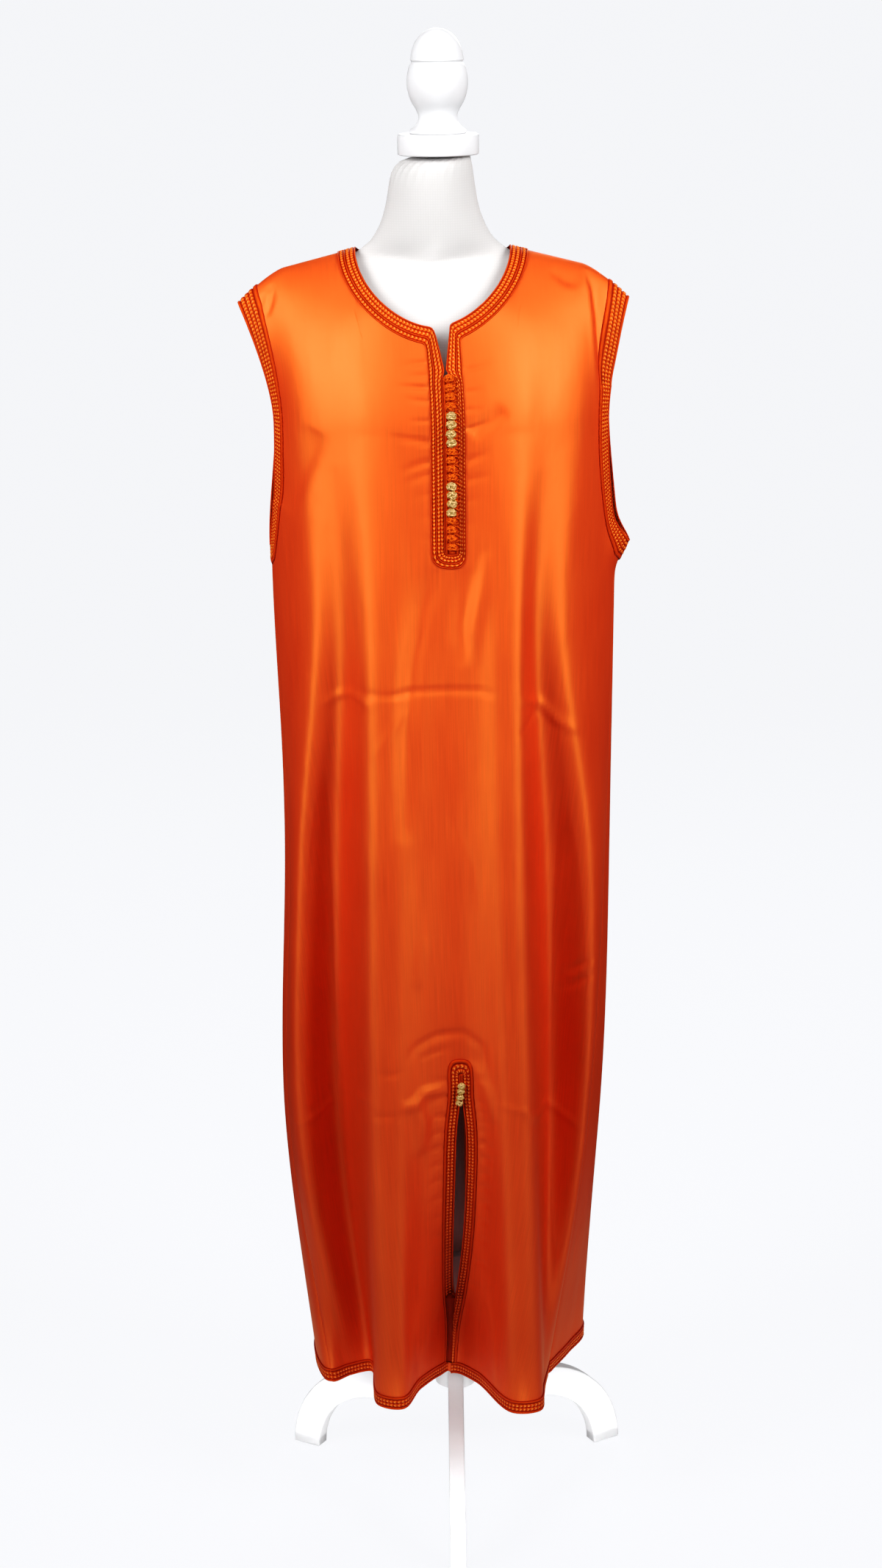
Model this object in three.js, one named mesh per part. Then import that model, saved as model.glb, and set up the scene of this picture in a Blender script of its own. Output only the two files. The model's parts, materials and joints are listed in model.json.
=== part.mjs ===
// A sleeveless gandoura of orange satin with braided trim, on a white tailor's dress form with a tripod stand.
// Units are millimetres. +Z is up, the front of the garment faces -Y, and +X is on the viewer's right.
// The garment is a shell of front and back panels. Its plan at any height is a smooth closed line through a few
// named folds, and the yoke above the chest line is a curve from that plan up to the shoulder ridge.

import * as THREE from "three";

// The cloth and its trims
const CLOTH = 2; // wall of the satin panels
const SEAM_GAP = 0.3; // between neighbouring pieces
const TRIM = 1.4; // thickness of the braided trim
const SIDE_SEAM_GAP = 0.8; // at mid-wall, so that the inner faces clear each other where the side turns sharply
const FREE_CLEARANCE = 0.6; // under the knots, which follow the true curve and not the panel's own points
const HEM_TRIM_WIDTH = 16;
const SLIT_TRIM_WIDTH = 15;
const NECK_TRIM_WIDTH = 20;
const ARM_TRIM_WIDTH = 22;

// The placket: a braid down each side of a strip that carries the buttons, right of the centre
const PLACKET_HALF_WIDTH = 18.5;
const STRIP_EDGE = { left: 3.5, right: 10.5 };
const NOTCH_WIDTH = 18;
const NOTCH_SPREAD = { strip: 5, braid: 3 }; // how far the braid moves out beside the open notch

// Heights above the floor
const HEM = 168;
const SLIT_MEET = 282; // the slit's edges cross here and overlap below
const SLIT_CLOSE = 550; // the slit's edges touch above here
const SLIT_TOP = 570;
const SLIT_TRIM_TOP = 591;
const PLACKET_BOTTOM = 1150; // the placket's braid ends at the height of the underarm
const UNDERARM = PLACKET_BOTTOM;
const PLACKET_CUT = 1166; // the front is cut open from here up to the neck
const CHEST = 1290; // the yoke starts here
const NECK_POINT = 1472; // where the neckline meets the shoulder ridge
const NECK_FRONT = 1399; // the neckline at the front centre
const NECK_BACK = 1450;

// The neckline and the shoulder ridge, on each side of the form's own centre line
const CENTRE_X = -7.5;
const NECK_HALF_WIDTH = 82.5;
const NECK_ROUNDNESS = 1.7; // exponent of the neckline's curve: 2 is an ellipse
const NECK_TRIM_DROP = 18; // the braid's width at the centre, seen from the front
const RIDGE_SLOPE = 0.25;
const RIDGE_DROOP_FROM = 160; // past the form's shoulder the cloth falls away faster
const RIDGE_DROOP = 0.072;
const SHOULDER_REACH = 210; // from the centre line to the tip of the shoulder
const ARM_EDGE = 0.85; // the armhole's edge, as a share of the way from the centre to the side seam
const ARM_CURVE = 0.8; // below one, the armhole's edge turns in sharply above the underarm
const YOKE_FULLNESS = 0.4; // how far the yoke's curve keeps its end directions
const UNDERARM_CORNER = { from: 0.8, reach: 16, height: 22 }; // the right underarm sticks out as a small corner

// The plan of the garment: a row for each fold, with its [x, y] at the five heights
const LEVELS = { hem: HEM, knee: 480, hip: 800, rib: 1110, chest: CHEST };
const FRONT_FOLDS = {
  "left seam": { hem: [-145, -68], knee: [-188, -26], hip: [-180, -6], rib: [-189, 0], chest: [-190, 2] },
  "left side": { hem: [-123, -50], knee: [-170, -86], hip: [-164, -94], rib: [-142, -98], chest: [-158, -72] },
  "left valley": { hem: [-98, -42], knee: [-128, -56], hip: [-124, -82], rib: [-112, -109], chest: [-114, -104] },
  "left ridge": { hem: [-88, -127], knee: [-90, -142], hip: [-86, -146], rib: [-80, -136], chest: [-86, -117] },
  "left crest": { hem: [-62, -137], knee: [-62, -147], hip: [-60, -150], rib: [-56, -139], chest: [-58, -124.5] },
  "left slope": { hem: [-41, -86], knee: [-30, -126], hip: [-30, -140], rib: [-28, -134], chest: [-28, -128] },
  "centre": { hem: [-6, -46], knee: [10, -112], hip: [7.5, -134], rib: [5, -131], chest: [6, -129] },
  "right slope": { hem: [24, -72], knee: [34, -124], hip: [34, -140], rib: [34, -133], chest: [36, -128] },
  "right crest": { hem: [66, -150], knee: [63, -149], hip: [60, -151], rib: [58, -138], chest: [60, -124] },
  "right ridge": { hem: [95, -146], knee: [89, -144], hip: [82, -146], rib: [79, -135], chest: [86, -116] },
  "right valley": { hem: [100, -112], knee: [112, -62], hip: [109, -84], rib: [98, -112], chest: [110, -103] },
  "right side": { hem: [103, -80], knee: [148, -80], hip: [158, -92], rib: [130, -100], chest: [152, -72] },
  "right seam": { hem: [108, -56], knee: [156, -44], hip: [178, -6], rib: [187, 0], chest: [190, 2] },
};
const BACK_FOLDS = {
  "right flank": { hem: [133, -2], knee: [172, 10], hip: [183, 48], rib: [176, 60], chest: [170, 60] },
  "right bulge": { hem: [153, 50], knee: [166, 66], hip: [150, 104], rib: [130, 104], chest: [122, 100] },
  "right back ridge": { hem: [116, 122], knee: [116, 128], hip: [95, 134], rib: [80, 122], chest: [76, 116] },
  "right back valley": { hem: [72, 96], knee: [66, 110], hip: [52, 120], rib: [42, 121], chest: [40, 118] },
  "back centre": { hem: [22, 138], knee: [10, 137], hip: [0, 136], rib: [0, 125], chest: [0, 118] },
  "left back valley": { hem: [-40, 92], knee: [-48, 108], hip: [-48, 118], rib: [-42, 120], chest: [-40, 118] },
  "left back ridge": { hem: [-90, 140], knee: [-96, 138], hip: [-92, 134], rib: [-82, 122], chest: [-76, 116] },
  "left bulge": { hem: [-140, 92], knee: [-152, 98], hip: [-150, 104], rib: [-130, 104], chest: [-122, 100] },
  "left flank": { hem: [-165, 14], knee: [-193, 30], hip: [-185, 48], rib: [-178, 60], chest: [-170, 60] },
};
const FOLDS = { ...FRONT_FOLDS, ...BACK_FOLDS };
const FOLD_NAMES = Object.keys(FOLDS);
const CENTRE_FOLD = FOLD_NAMES.indexOf("centre");
const RIGHT_SEAM = FOLD_NAMES.indexOf("right seam");
const BACK_CENTRE = FOLD_NAMES.indexOf("back centre");

// The gap between the slit's two edges by height, and how far the left one is tucked behind the right one
const SLIT_GAPS = [
  { height: HEM, gap: -14, tuck: 8 },
  { height: 240, gap: -10, tuck: 7.5 },
  { height: SLIT_MEET, gap: 1, tuck: 6 },
  { height: 340, gap: 9.5, tuck: 1.5 },
  { height: 430, gap: 12.5, tuck: 0 },
  { height: 505, gap: 9.5, tuck: 0 },
  { height: SLIT_CLOSE, gap: 0.6, tuck: 0 },
  { height: SLIT_TOP, gap: 0, tuck: 0 },
];
// Shares of the tuck, by column from the slit's edge
const TUCK_SHARES = { left: [-1, -0.75, -0.3], right: [0.5, 0.25, 0.05] };
const CUT_GAP = 0.6; // between the two edges of the closed placket

// How finely the cloth is divided
const ROW_STEP = 85;
const ROW_STOPS = [
  HEM, HEM + HEM_TRIM_WIDTH, ...SLIT_GAPS.slice(1).map((row) => row.height), SLIT_TRIM_TOP,
  PLACKET_BOTTOM, PLACKET_CUT, CHEST,
];
const YOKE_ROWS = 7; // the last one is under the neck's braid
const YOKE_CROWDING = 1.4; // above one, the rows lie closer towards the shoulder ridge
const NOTCH_ROWS = 3; // the yoke's last rows, which the neck's notch cuts through
const COLUMNS = {
  front: { inner: 6, outer: 8 }, // from the placket to the neck point, and on to the armhole's braid
  back: { inner: 6, outer: 7 }, // from the back centre
};

// Twenty knots in groups of four, in turn orange and gold
const BUTTONS = { count: 20, group: 4, top: 1347, bottom: 1172, across: 3.5 };
const KNOT = { width: 10.4, height: 8.4, depth: 7 };
const KNOT_SIDES = { round: 8, up: 4 };
const TACK_SIDES = 8;
const BAR_TACK = {
  top: 563,
  length: 28,
  radius: 4.2,
  lobes: 4,
  lean: 0.14, // radians
  waist: 0.6, // between two lobes, as a share of the radius
  tip: 0.4, // at each end, as a share of the radius
  shoulder: 0.02, // how far up each lobe its waist lies
};

// The dress form: sections of its torso, with half width, front and back depth, and the outline's exponent
const FORM_SECTIONS = [
  { height: 838, half: 160, front: 98, back: 100, power: 2.3 },
  { height: 850, half: 168, front: 104, back: 106, power: 2.3 },
  { height: 920, half: 170, front: 106, back: 110, power: 2.3 },
  { height: 1000, half: 152, front: 98, back: 96, power: 2.2 },
  { height: 1080, half: 126, front: 90, back: 78, power: 2.2 },
  { height: 1150, half: 128, front: 96, back: 82, power: 2.2 },
  { height: 1220, half: 146, front: 110, back: 92, power: 2.2 },
  { height: 1280, half: 152, front: 112, back: 98, power: 2.3 },
  { height: 1340, half: 160, front: 96, back: 90, power: 2.3 },
  { height: 1390, half: 165, front: 78, back: 74, power: 2.1 },
  { height: 1420, half: 162, front: 64, back: 60, power: 1.9 },
  { height: 1438, half: 152, front: 52, back: 50, power: 1.5 },
];
// Its shoulders follow the ridge just under the cloth, falling short of it by a little towards the neck
const FORM_SHOULDER = [
  { half: 138, front: 45, back: 44, power: 1.03, drop: 0 },
  { half: 110, front: 43, back: 42, power: 1.02, drop: 2.2 },
  { half: 88, front: 43, back: 42, power: 1.1, drop: 3.5 },
];
const FORM_NECK = [
  { height: 1480, half: 67, front: 42, back: 41, power: 1.7 },
  { height: 1495, half: 57, front: 43, back: 42, power: 2 },
  { height: 1520, half: 48, front: 45, back: 44, power: 2 },
  { height: 1569.4, half: 43, front: 43, back: 43, power: 2 },
];
const FORM_SIDES = 28;
const CELL_DIP = 0.2; // the cloth's flat cells dip this far under its true curve
const SHOULDER_CLEARANCE = CLOTH / 2 + SEAM_GAP + CELL_DIP;

// Neck cap and finial, turned in wood, with [radius, height] from the floor
const NECK_CAP_PROFILE = [[0, 1569.7], [41.5, 1569.7], [43.5, 1572], [43.5, 1589], [41, 1591.7], [0, 1591.7]];
const FINIAL_PROFILE = [
  [0, 1592], [30.5, 1592], [30.5, 1595], [24, 1600], [20.5, 1607], [22, 1614], [28.5, 1626], [32.5, 1642],
  [31.5, 1655], [29, 1664], [26.5, 1665.5], [28.5, 1667.5], [26, 1678], [19.5, 1690], [10, 1698], [0, 1700],
];

// The stand
const POLE_PROFILE = [[0, 306.3], [14, 306.3], [14, 837.7], [0, 837.7]];
const HUB_PROFILE = [
  [0, 134], [12, 137], [19, 143], [23, 151], [24, 158], [24, 296], [21, 303], [18, 306], [0, 306],
];
const TURNED_SIDES = 24;
const LEG = {
  thickness: 18,
  inner: 24.4, // from the pole's axis to the edge that meets the hub
  seatBottom: 142,
  seatTop: 225,
  archCentre: 105,
  archOuter: 122,
  archInner: 86,
  footTaper: 4, // the foot's inner edge stands this far in from the arch's
  outerTurn: 1.45, // radians round the arch to where its edges turn up to the hub
  innerTurn: 1.45,
  outerPull: 45, // how far each edge keeps its direction there
  innerPull: 35,
  topPull: { out: 2, down: 75 }, // where each edge heads as it comes to the hub
  bottomPull: { out: 12, down: 34 },
  curveSteps: 7,
};
const LEGS = { leg_front: -90, leg_back_right: 30, leg_back_left: 150 }; // degrees round the pole from +X

// Colours from the photograph
const SATIN = { color: 0xe8571c, roughness: 0.38 };
const BRAID = { color: 0xc9441a, roughness: 0.7 };
const GOLD = { color: 0xd9b070, roughness: 0.5 };
const WHITE_CLOTH = { color: 0xf1f0ef, roughness: 0.9 };
const WHITE_PAINT = { color: 0xf4f4f5, roughness: 0.4 };

const model = new THREE.Group();

function addPiece(name, geometry, look) {
  const mesh = new THREE.Mesh(geometry, new THREE.MeshStandardMaterial({ ...look, metalness: 0 }));
  mesh.name = name;
  model.add(mesh);
  return mesh;
}

const mix = (a, b, t) => a + (b - a) * t;
const clamp = (value, low, high) => Math.min(high, Math.max(low, value));
const apart = (a, b) => Math.hypot(b[0] - a[0], b[1] - a[1]);

// A smooth line through rows of numbers at rising knots, with the slope at each knot from its two neighbours
function smoothThrough(knots, rows, at, closed = false) {
  const last = knots.length - 1;
  let k = 0;
  while (k < last - 1 && at > knots[k + 1]) k++;
  const span = (i) => knots[i + 1] - knots[i];
  const slope = (i, c) => (rows[i + 1][c] - rows[i][c]) / span(i);
  const tangent = (i, c) => {
    const before = i > 0 ? i - 1 : closed ? last - 1 : null;
    const after = i < last ? i : closed ? 0 : null;
    if (before === null) return slope(after, c);
    if (after === null) return slope(before, c);
    return (slope(before, c) * span(after) + slope(after, c) * span(before)) / (span(before) + span(after));
  };
  const h = span(k);
  const t = (at - knots[k]) / h;
  return rows[k].map((_, c) => {
    const value0 = (2 * t ** 3 - 3 * t ** 2 + 1) * rows[k][c] + (t ** 3 - 2 * t ** 2 + t) * h * tangent(k, c);
    const value1 = (3 * t ** 2 - 2 * t ** 3) * rows[k + 1][c] + (t ** 3 - t ** 2) * h * tangent(k + 1, c);
    return value0 + value1;
  });
}

// The plan at one height: points along the closed line, with the length run from the left seam at each
const RING_STEPS = 12; // between two folds
const rings = new Map();
function ringAt(height) {
  const key = height.toFixed(3);
  if (!rings.has(key)) {
    const names = Object.keys(LEVELS);
    const heights = names.map((name) => LEVELS[name]);
    const foldAt = (row) => smoothThrough(heights, names.map((name) => row[name]), height);
    const nodes = Object.values(FOLDS).map(foldAt);
    nodes.push(nodes[0]);
    const knots = [0];
    for (let i = 1; i < nodes.length; i++) knots.push(knots[i - 1] + Math.sqrt(apart(nodes[i - 1], nodes[i])));
    const points = [];
    for (let i = 0; i < nodes.length - 1; i++)
      for (let s = 0; s < RING_STEPS; s++) {
        const at = mix(knots[i], knots[i + 1], s / RING_STEPS);
        points.push(smoothThrough(knots, nodes, at, true));
      }
    points.push(nodes[0]);
    const lengths = [0];
    for (let i = 1; i < points.length; i++) lengths.push(lengths[i - 1] + apart(points[i - 1], points[i]));
    rings.set(key, { points, lengths });
  }
  return rings.get(key);
}

function alongRing(ring, length) {
  const total = ring.lengths[ring.lengths.length - 1];
  const wanted = ((length % total) + total) % total;
  let low = 0;
  let high = ring.lengths.length - 1;
  while (high - low > 1) {
    const middle = (low + high) >> 1;
    if (ring.lengths[middle] <= wanted) low = middle;
    else high = middle;
  }
  const t = (wanted - ring.lengths[low]) / (ring.lengths[high] - ring.lengths[low]);
  return [0, 1].map((c) => mix(ring.points[low][c], ring.points[high][c], t));
}

// Where each half of a panel starts and ends on the ring: from its centre out to the seam
function halfOf(ring, panel, side) {
  const at = (fold) => ring.lengths[fold * RING_STEPS];
  const total = ring.lengths[ring.lengths.length - 1];
  if (panel === "front") return { centre: at(CENTRE_FOLD), seam: side === "left" ? 0 : at(RIGHT_SEAM) };
  return { centre: at(BACK_CENTRE), seam: side === "left" ? total : at(RIGHT_SEAM) };
}

function halfLength(height, panel, side) {
  const half = halfOf(ringAt(Math.min(height, CHEST)), panel, side);
  return Math.abs(half.seam - half.centre);
}

function ridgeHeight(x) {
  const out = Math.abs(x - CENTRE_X);
  const droop = RIDGE_DROOP * Math.max(0, out - RIDGE_DROOP_FROM) ** 1.5;
  return NECK_POINT - RIDGE_SLOPE * (out - NECK_HALF_WIDTH) - droop;
}

function bezier(a, b, c, d, t) {
  const rest = 1 - t;
  return a * rest ** 3 + 3 * b * t * rest ** 2 + 3 * c * t ** 2 * rest + d * t ** 3;
}

// A point of a panel's middle surface. Share is signed, 0 at the centre and 1 at the right seam. Rise is the
// height up to the chest line, and CHEST plus 1 is the shoulder ridge.
function clothPoint(panel, share, rise) {
  const side = share < 0 ? "left" : "right";
  const height = Math.min(rise, CHEST);
  const ring = ringAt(height);
  const half = halfOf(ring, panel, side);
  let [x, y] = alongRing(ring, mix(half.centre, half.seam, Math.abs(share)));
  const corner = clamp((share - UNDERARM_CORNER.from) / (1 - UNDERARM_CORNER.from), 0, 1) ** 2;
  x += UNDERARM_CORNER.reach * corner * Math.exp(-(((height - UNDERARM) / UNDERARM_CORNER.height) ** 2));
  if (rise <= CHEST) return new THREE.Vector3(x, y, height);
  const t = rise - CHEST;
  const ridgeX = CENTRE_X + (SHOULDER_REACH * share) / ARM_EDGE;
  const top = ridgeHeight(ridgeX);
  return new THREE.Vector3(
    mix(x, ridgeX, t * t * (3 - 2 * t)),
    bezier(y, y, y * YOKE_FULLNESS, 0, t),
    bezier(CHEST, mix(CHEST, top, YOKE_FULLNESS), top, top, t),
  );
}

// How the surface runs at a point: its step across per unit of share, and its step up per unit of rise
function clothSlopes(panel, share, rise) {
  const stepShare = 0.004;
  const stepRise = rise > CHEST ? 0.01 : 2;
  const high = rise > CHEST ? Math.min(rise + stepRise, CHEST + 1) : Math.min(rise + stepRise, CHEST);
  const low = rise > CHEST ? Math.max(rise - stepRise, CHEST) : rise - stepRise;
  const across = clothPoint(panel, share + stepShare, rise).sub(clothPoint(panel, share - stepShare, rise));
  const up = clothPoint(panel, share, high).sub(clothPoint(panel, share, low));
  return { across: across.divideScalar(2 * stepShare), up: up.divideScalar(high - low) };
}

function clothNormal(panel, share, rise) {
  const { across, up } = clothSlopes(panel, share, rise);
  return across.cross(up).normalize().multiplyScalar(panel === "front" ? 1 : -1);
}

// The height, over a place across, of the neckline or of its braid's outer edge
function necklineHeight(panel, x, isBraidEdge) {
  const out = Math.abs(x - CENTRE_X) / (NECK_HALF_WIDTH + (isBraidEdge ? NECK_TRIM_WIDTH : 0));
  const bottom = (panel === "front" ? NECK_FRONT : NECK_BACK) - (isBraidEdge ? NECK_TRIM_DROP : 0);
  if (out >= 1) return Infinity;
  return NECK_POINT - (NECK_POINT - bottom) * (1 - out ** NECK_ROUNDNESS) ** (1 / NECK_ROUNDNESS);
}

const RIDGE_STOP = 0.998; // leaves the seam gap between the two panels along the shoulder ridge
function riseWhere(panel, share, isOver) {
  let low = 0;
  let high = RIDGE_STOP;
  if (!isOver(clothPoint(panel, share, CHEST + high))) return CHEST + high;
  for (let i = 0; i < 30; i++) {
    const middle = (low + high) / 2;
    if (isOver(clothPoint(panel, share, CHEST + middle))) high = middle;
    else low = middle;
  }
  return CHEST + low;
}
const neckRise = (panel, share, isBraidEdge) =>
  riseWhere(panel, share, (p) => p.z > necklineHeight(panel, p.x, isBraidEdge));
const riseAtHeight = (panel, share, z) => (z <= CHEST ? z : riseWhere(panel, share, (p) => p.z > z));

// The armhole's edge, as a share of the way to the side seam
function edgeShare(rise) {
  const t = clamp((rise - UNDERARM) / (CHEST - UNDERARM), 0, 1);
  return 1 - (1 - ARM_EDGE) * Math.sin((t * Math.PI) / 2) ** ARM_CURVE;
}

// The rows that both panels share: every stop, with even steps between far ones, and then the yoke
const heights = [ROW_STOPS[0]];
for (let i = 1; i < ROW_STOPS.length; i++) {
  const parts = Math.ceil((ROW_STOPS[i] - ROW_STOPS[i - 1]) / ROW_STEP);
  for (let k = 1; k <= parts; k++) heights.push(mix(ROW_STOPS[i - 1], ROW_STOPS[i], k / parts));
}
const ROWS = [...heights.map((height) => ({ height, yoke: 0 }))];
for (let yoke = 1; yoke <= YOKE_ROWS; yoke++) ROWS.push({ height: CHEST, yoke });
const rowAt = (height) => heights.indexOf(height);
const TOP_ROW = ROWS.length - 1;
const NOTCH_ROW = TOP_ROW - NOTCH_ROWS;
function yokeRise(panel, share, yoke) {
  if (yoke === YOKE_ROWS) return neckRise(panel, share, false);
  const part = 1 - (1 - yoke / (YOKE_ROWS - 1)) ** YOKE_CROWDING;
  return mix(CHEST, neckRise(panel, share, true), part);
}

// A grid of points: each has a place on the middle surface and an outward normal
function makeGrid(columns, pointAt) {
  const points = columns.map((column) => ROWS.map((row) => pointAt(column, row)));
  return { columns: columns.length, at: (i, j) => points[i][j] };
}

// The cells of part of a grid, each with its corners in order. An inset pulls that side in for a seam gap.
function cellsOf(grid, { columns: [left, right], rows: [bottom, top], inset = {}, keep = () => true }) {
  const at = (i, j) => {
    let corner = grid.at(i, j);
    const pull = (toColumn, toRow) => {
      const other = grid.at(toColumn, toRow);
      const share = SEAM_GAP / Math.max(SEAM_GAP, corner.place.distanceTo(other.place));
      corner = { place: corner.place.clone().lerp(other.place, share), normal: corner.normal };
    };
    if (inset.left && i === left) pull(i + 1, j);
    if (inset.right && i === right) pull(i - 1, j);
    if (inset.bottom && j === bottom) pull(i, j + 1);
    if (inset.top && j === top) pull(i, j - 1);
    return corner;
  };
  const cells = [];
  for (let i = left; i < right; i++) {
    if (!keep(i)) continue;
    for (let j = bottom; j < top; j++) cells.push([at(i, j), at(i + 1, j), at(i + 1, j + 1), at(i, j + 1)]);
  }
  return cells;
}

// A closed solid from cells: two faces apart by a thickness, and a wall round every open edge.
// Corners at the same place are one corner, so a slit that is closed leaves no wall there.
function shellSolid(cells, low, high) {
  const ids = new Map();
  const corners = [];
  const idOf = (corner) => {
    const key = corner.place.toArray().map((v) => v.toFixed(3)).join(" ");
    if (!ids.has(key)) {
      ids.set(key, corners.length);
      corners.push(corner);
    }
    return ids.get(key);
  };
  const faces = cells
    .map((cell) => cell.map(idOf).filter((id, k, all) => id !== all[(k + 1) % all.length]))
    .filter((face) => face.length > 2);
  const edges = new Map();
  for (const face of faces)
    face.forEach((a, k) => {
      const b = face[(k + 1) % face.length];
      edges.set(`${a} ${b}`, [a, b]);
    });
  const positions = [];
  for (const lift of [high, low])
    for (const { place, normal } of corners)
      positions.push(...place.clone().addScaledVector(normal, lift).toArray());
  const count = corners.length;
  const index = [];
  for (const face of faces)
    for (let k = 1; k < face.length - 1; k++) {
      const [a, b, c] = [face[0], face[k], face[k + 1]];
      index.push(a, b, c, count + a, count + c, count + b);
    }
  for (const [a, b] of edges.values())
    if (!edges.has(`${b} ${a}`)) index.push(a, count + a, count + b, a, count + b, b);
  return new THREE.BufferGeometry()
    .setAttribute("position", new THREE.Float32BufferAttribute(positions, 3))
    .setIndex(index);
}

const TRIM_LOW = CLOTH / 2 + SEAM_GAP;
const TRIM_HIGH = TRIM_LOW + TRIM;
const addCloth = (name, cells) => addPiece(name, shellSolid(cells, -CLOTH / 2, CLOTH / 2), SATIN);
const addTrim = (name, cells) => addPiece(name, shellSolid(cells, TRIM_LOW, TRIM_HIGH), BRAID);

// Columns are measured from the centre to each side. Past the start there are inner ones up to the neck point,
// one at the outer edge of the neck's braid, outer ones up to the armhole's braid, and last the panel's edge.
const shareOnRidge = (reach) => (reach / SHOULDER_REACH) * ARM_EDGE;
const neckColumn = (panel) => COLUMNS[panel].inner;
const armColumn = (panel) => neckColumn(panel) + 1 + COLUMNS[panel].outer;
function columnDistance(panel, side, row, start, column) {
  const length = halfLength(row.height, panel, side) * edgeShare(row.height);
  if (column > armColumn(panel)) return length - (row.height <= UNDERARM ? SIDE_SEAM_GAP / 2 : 0);
  const chest = halfLength(CHEST, panel, side);
  const chestStart = panel === "front" ? PLACKET_HALF_WIDTH : 0;
  const chestOuter = chest * ARM_EDGE - ARM_TRIM_WIDTH;
  const partOf = (reach) => (chest * shareOnRidge(reach) - chestStart) / (chestOuter - chestStart);
  const neck = partOf(NECK_HALF_WIDTH);
  const braid = partOf(NECK_HALF_WIDTH + NECK_TRIM_WIDTH);
  const past = column - neckColumn(panel) - 1;
  const inwards = neck * Math.sin((Math.PI / 2) * (column / neckColumn(panel)));
  const part = past < 0 ? inwards : mix(braid, 1, past / COLUMNS[panel].outer);
  return mix(start, length - ARM_TRIM_WIDTH, part);
}

// Front panel: its columns run in step with the slit's edges and with the braids that lie on it
const PLACKET_COLUMN = 2;
const EDGE_COLUMN = PLACKET_COLUMN + armColumn("front") + 1;

function slitAt(height) {
  const rows = SLIT_GAPS.map((row) => [row.gap, row.tuck]);
  const [gap, tuck] = smoothThrough(SLIT_GAPS.map((row) => row.height), rows, Math.min(height, SLIT_TOP));
  return { edge: gap / 2, tuck };
}

// How far out the inner columns lie: the slit's or placket's edge, the strip's edge and the braid's outer edge
function innerDistances(side, { height, yoke }) {
  if (height < SLIT_TRIM_TOP) {
    const { edge } = slitAt(height);
    return [edge, edge + SLIT_TRIM_WIDTH / 2, edge + SLIT_TRIM_WIDTH];
  }
  const open = clamp((yoke - (YOKE_ROWS - NOTCH_ROWS)) / NOTCH_ROWS, 0, 1);
  const cut = height > PLACKET_CUT ? CUT_GAP / 2 : 0;
  const edge = Math.max(cut, (NOTCH_WIDTH / 2) * open);
  return [
    edge,
    mix(STRIP_EDGE[side], edge + NOTCH_SPREAD.strip, open),
    PLACKET_HALF_WIDTH + NOTCH_SPREAD.braid * open,
  ];
}

function frontDistance(column, side, row) {
  const inner = innerDistances(side, row);
  if (column <= PLACKET_COLUMN) return inner[column];
  return columnDistance("front", side, row, inner[PLACKET_COLUMN], column - PLACKET_COLUMN);
}

function frontPoint({ column, side }, row) {
  const sign = side === "left" ? -1 : 1;
  const share = (sign * frontDistance(column, side, row)) / halfLength(row.height, "front", side);
  const rise = row.yoke ? yokeRise("front", share, row.yoke) : row.height;
  const normal = clothNormal("front", share, rise);
  const tuck = row.height < SLIT_TOP ? slitAt(row.height).tuck * (TUCK_SHARES[side][column] ?? 0) : 0;
  return { place: clothPoint("front", share, rise).addScaledVector(normal, tuck), normal };
}

const frontColumns = [];
for (let column = EDGE_COLUMN; column >= 0; column--) frontColumns.push({ column, side: "left" });
for (let column = 0; column <= EDGE_COLUMN; column++) frontColumns.push({ column, side: "right" });
const front = makeGrid(frontColumns, frontPoint);
const onLeft = (column) => EDGE_COLUMN - column;
const onRight = (column) => EDGE_COLUMN + 1 + column;
const wholeFront = [onLeft(EDGE_COLUMN), onRight(EDGE_COLUMN)];
const isBesideCentre = (i) => i !== onLeft(0);

addCloth("front_panel", cellsOf(front, { columns: wholeFront, rows: [0, TOP_ROW], keep: isBesideCentre }));

// Back panel, with its columns from left to right as seen from behind
function backPoint(column, row) {
  const side = column < 0 ? "left" : "right";
  const distance = column ? columnDistance("back", side, row, 0, Math.abs(column)) : 0;
  const share = (Math.sign(column) * distance) / halfLength(row.height, "back", side);
  const rise = row.yoke ? yokeRise("back", share, row.yoke) : row.height;
  return { place: clothPoint("back", share, rise), normal: clothNormal("back", share, rise) };
}
const backColumns = [];
for (let column = armColumn("back") + 1; column >= -armColumn("back") - 1; column--) backColumns.push(column);
const back = makeGrid(backColumns, backPoint);
const BACK_LAST = back.columns - 1;

addCloth("back_panel", cellsOf(back, { columns: [0, BACK_LAST], rows: [0, TOP_ROW] }));

// Hem and slit braids
const slitTopRow = rowAt(SLIT_TOP);
const leftSlit = [onLeft(PLACKET_COLUMN), onLeft(0)];
const rightSlit = [onRight(0), onRight(PLACKET_COLUMN)];
const acrossPlacket = [onLeft(PLACKET_COLUMN), onRight(PLACKET_COLUMN)];
const hemRows = [0, 1];
const leftOfSlit = { columns: [wholeFront[0], leftSlit[0]], rows: hemRows, inset: { right: true } };
const rightOfSlit = { columns: [rightSlit[1], wholeFront[1]], rows: hemRows, inset: { left: true } };
addTrim("hem_trim_front_left", cellsOf(front, leftOfSlit));
addTrim("hem_trim_front_right", cellsOf(front, rightOfSlit));
addTrim("hem_trim_back", cellsOf(back, { columns: [0, BACK_LAST], rows: hemRows }));
addTrim("slit_trim", [
  ...cellsOf(front, { columns: leftSlit, rows: [0, slitTopRow] }),
  ...cellsOf(front, { columns: rightSlit, rows: [0, slitTopRow] }),
  ...cellsOf(front, { columns: acrossPlacket, rows: [slitTopRow, slitTopRow + 1], keep: isBesideCentre }),
]);

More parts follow.
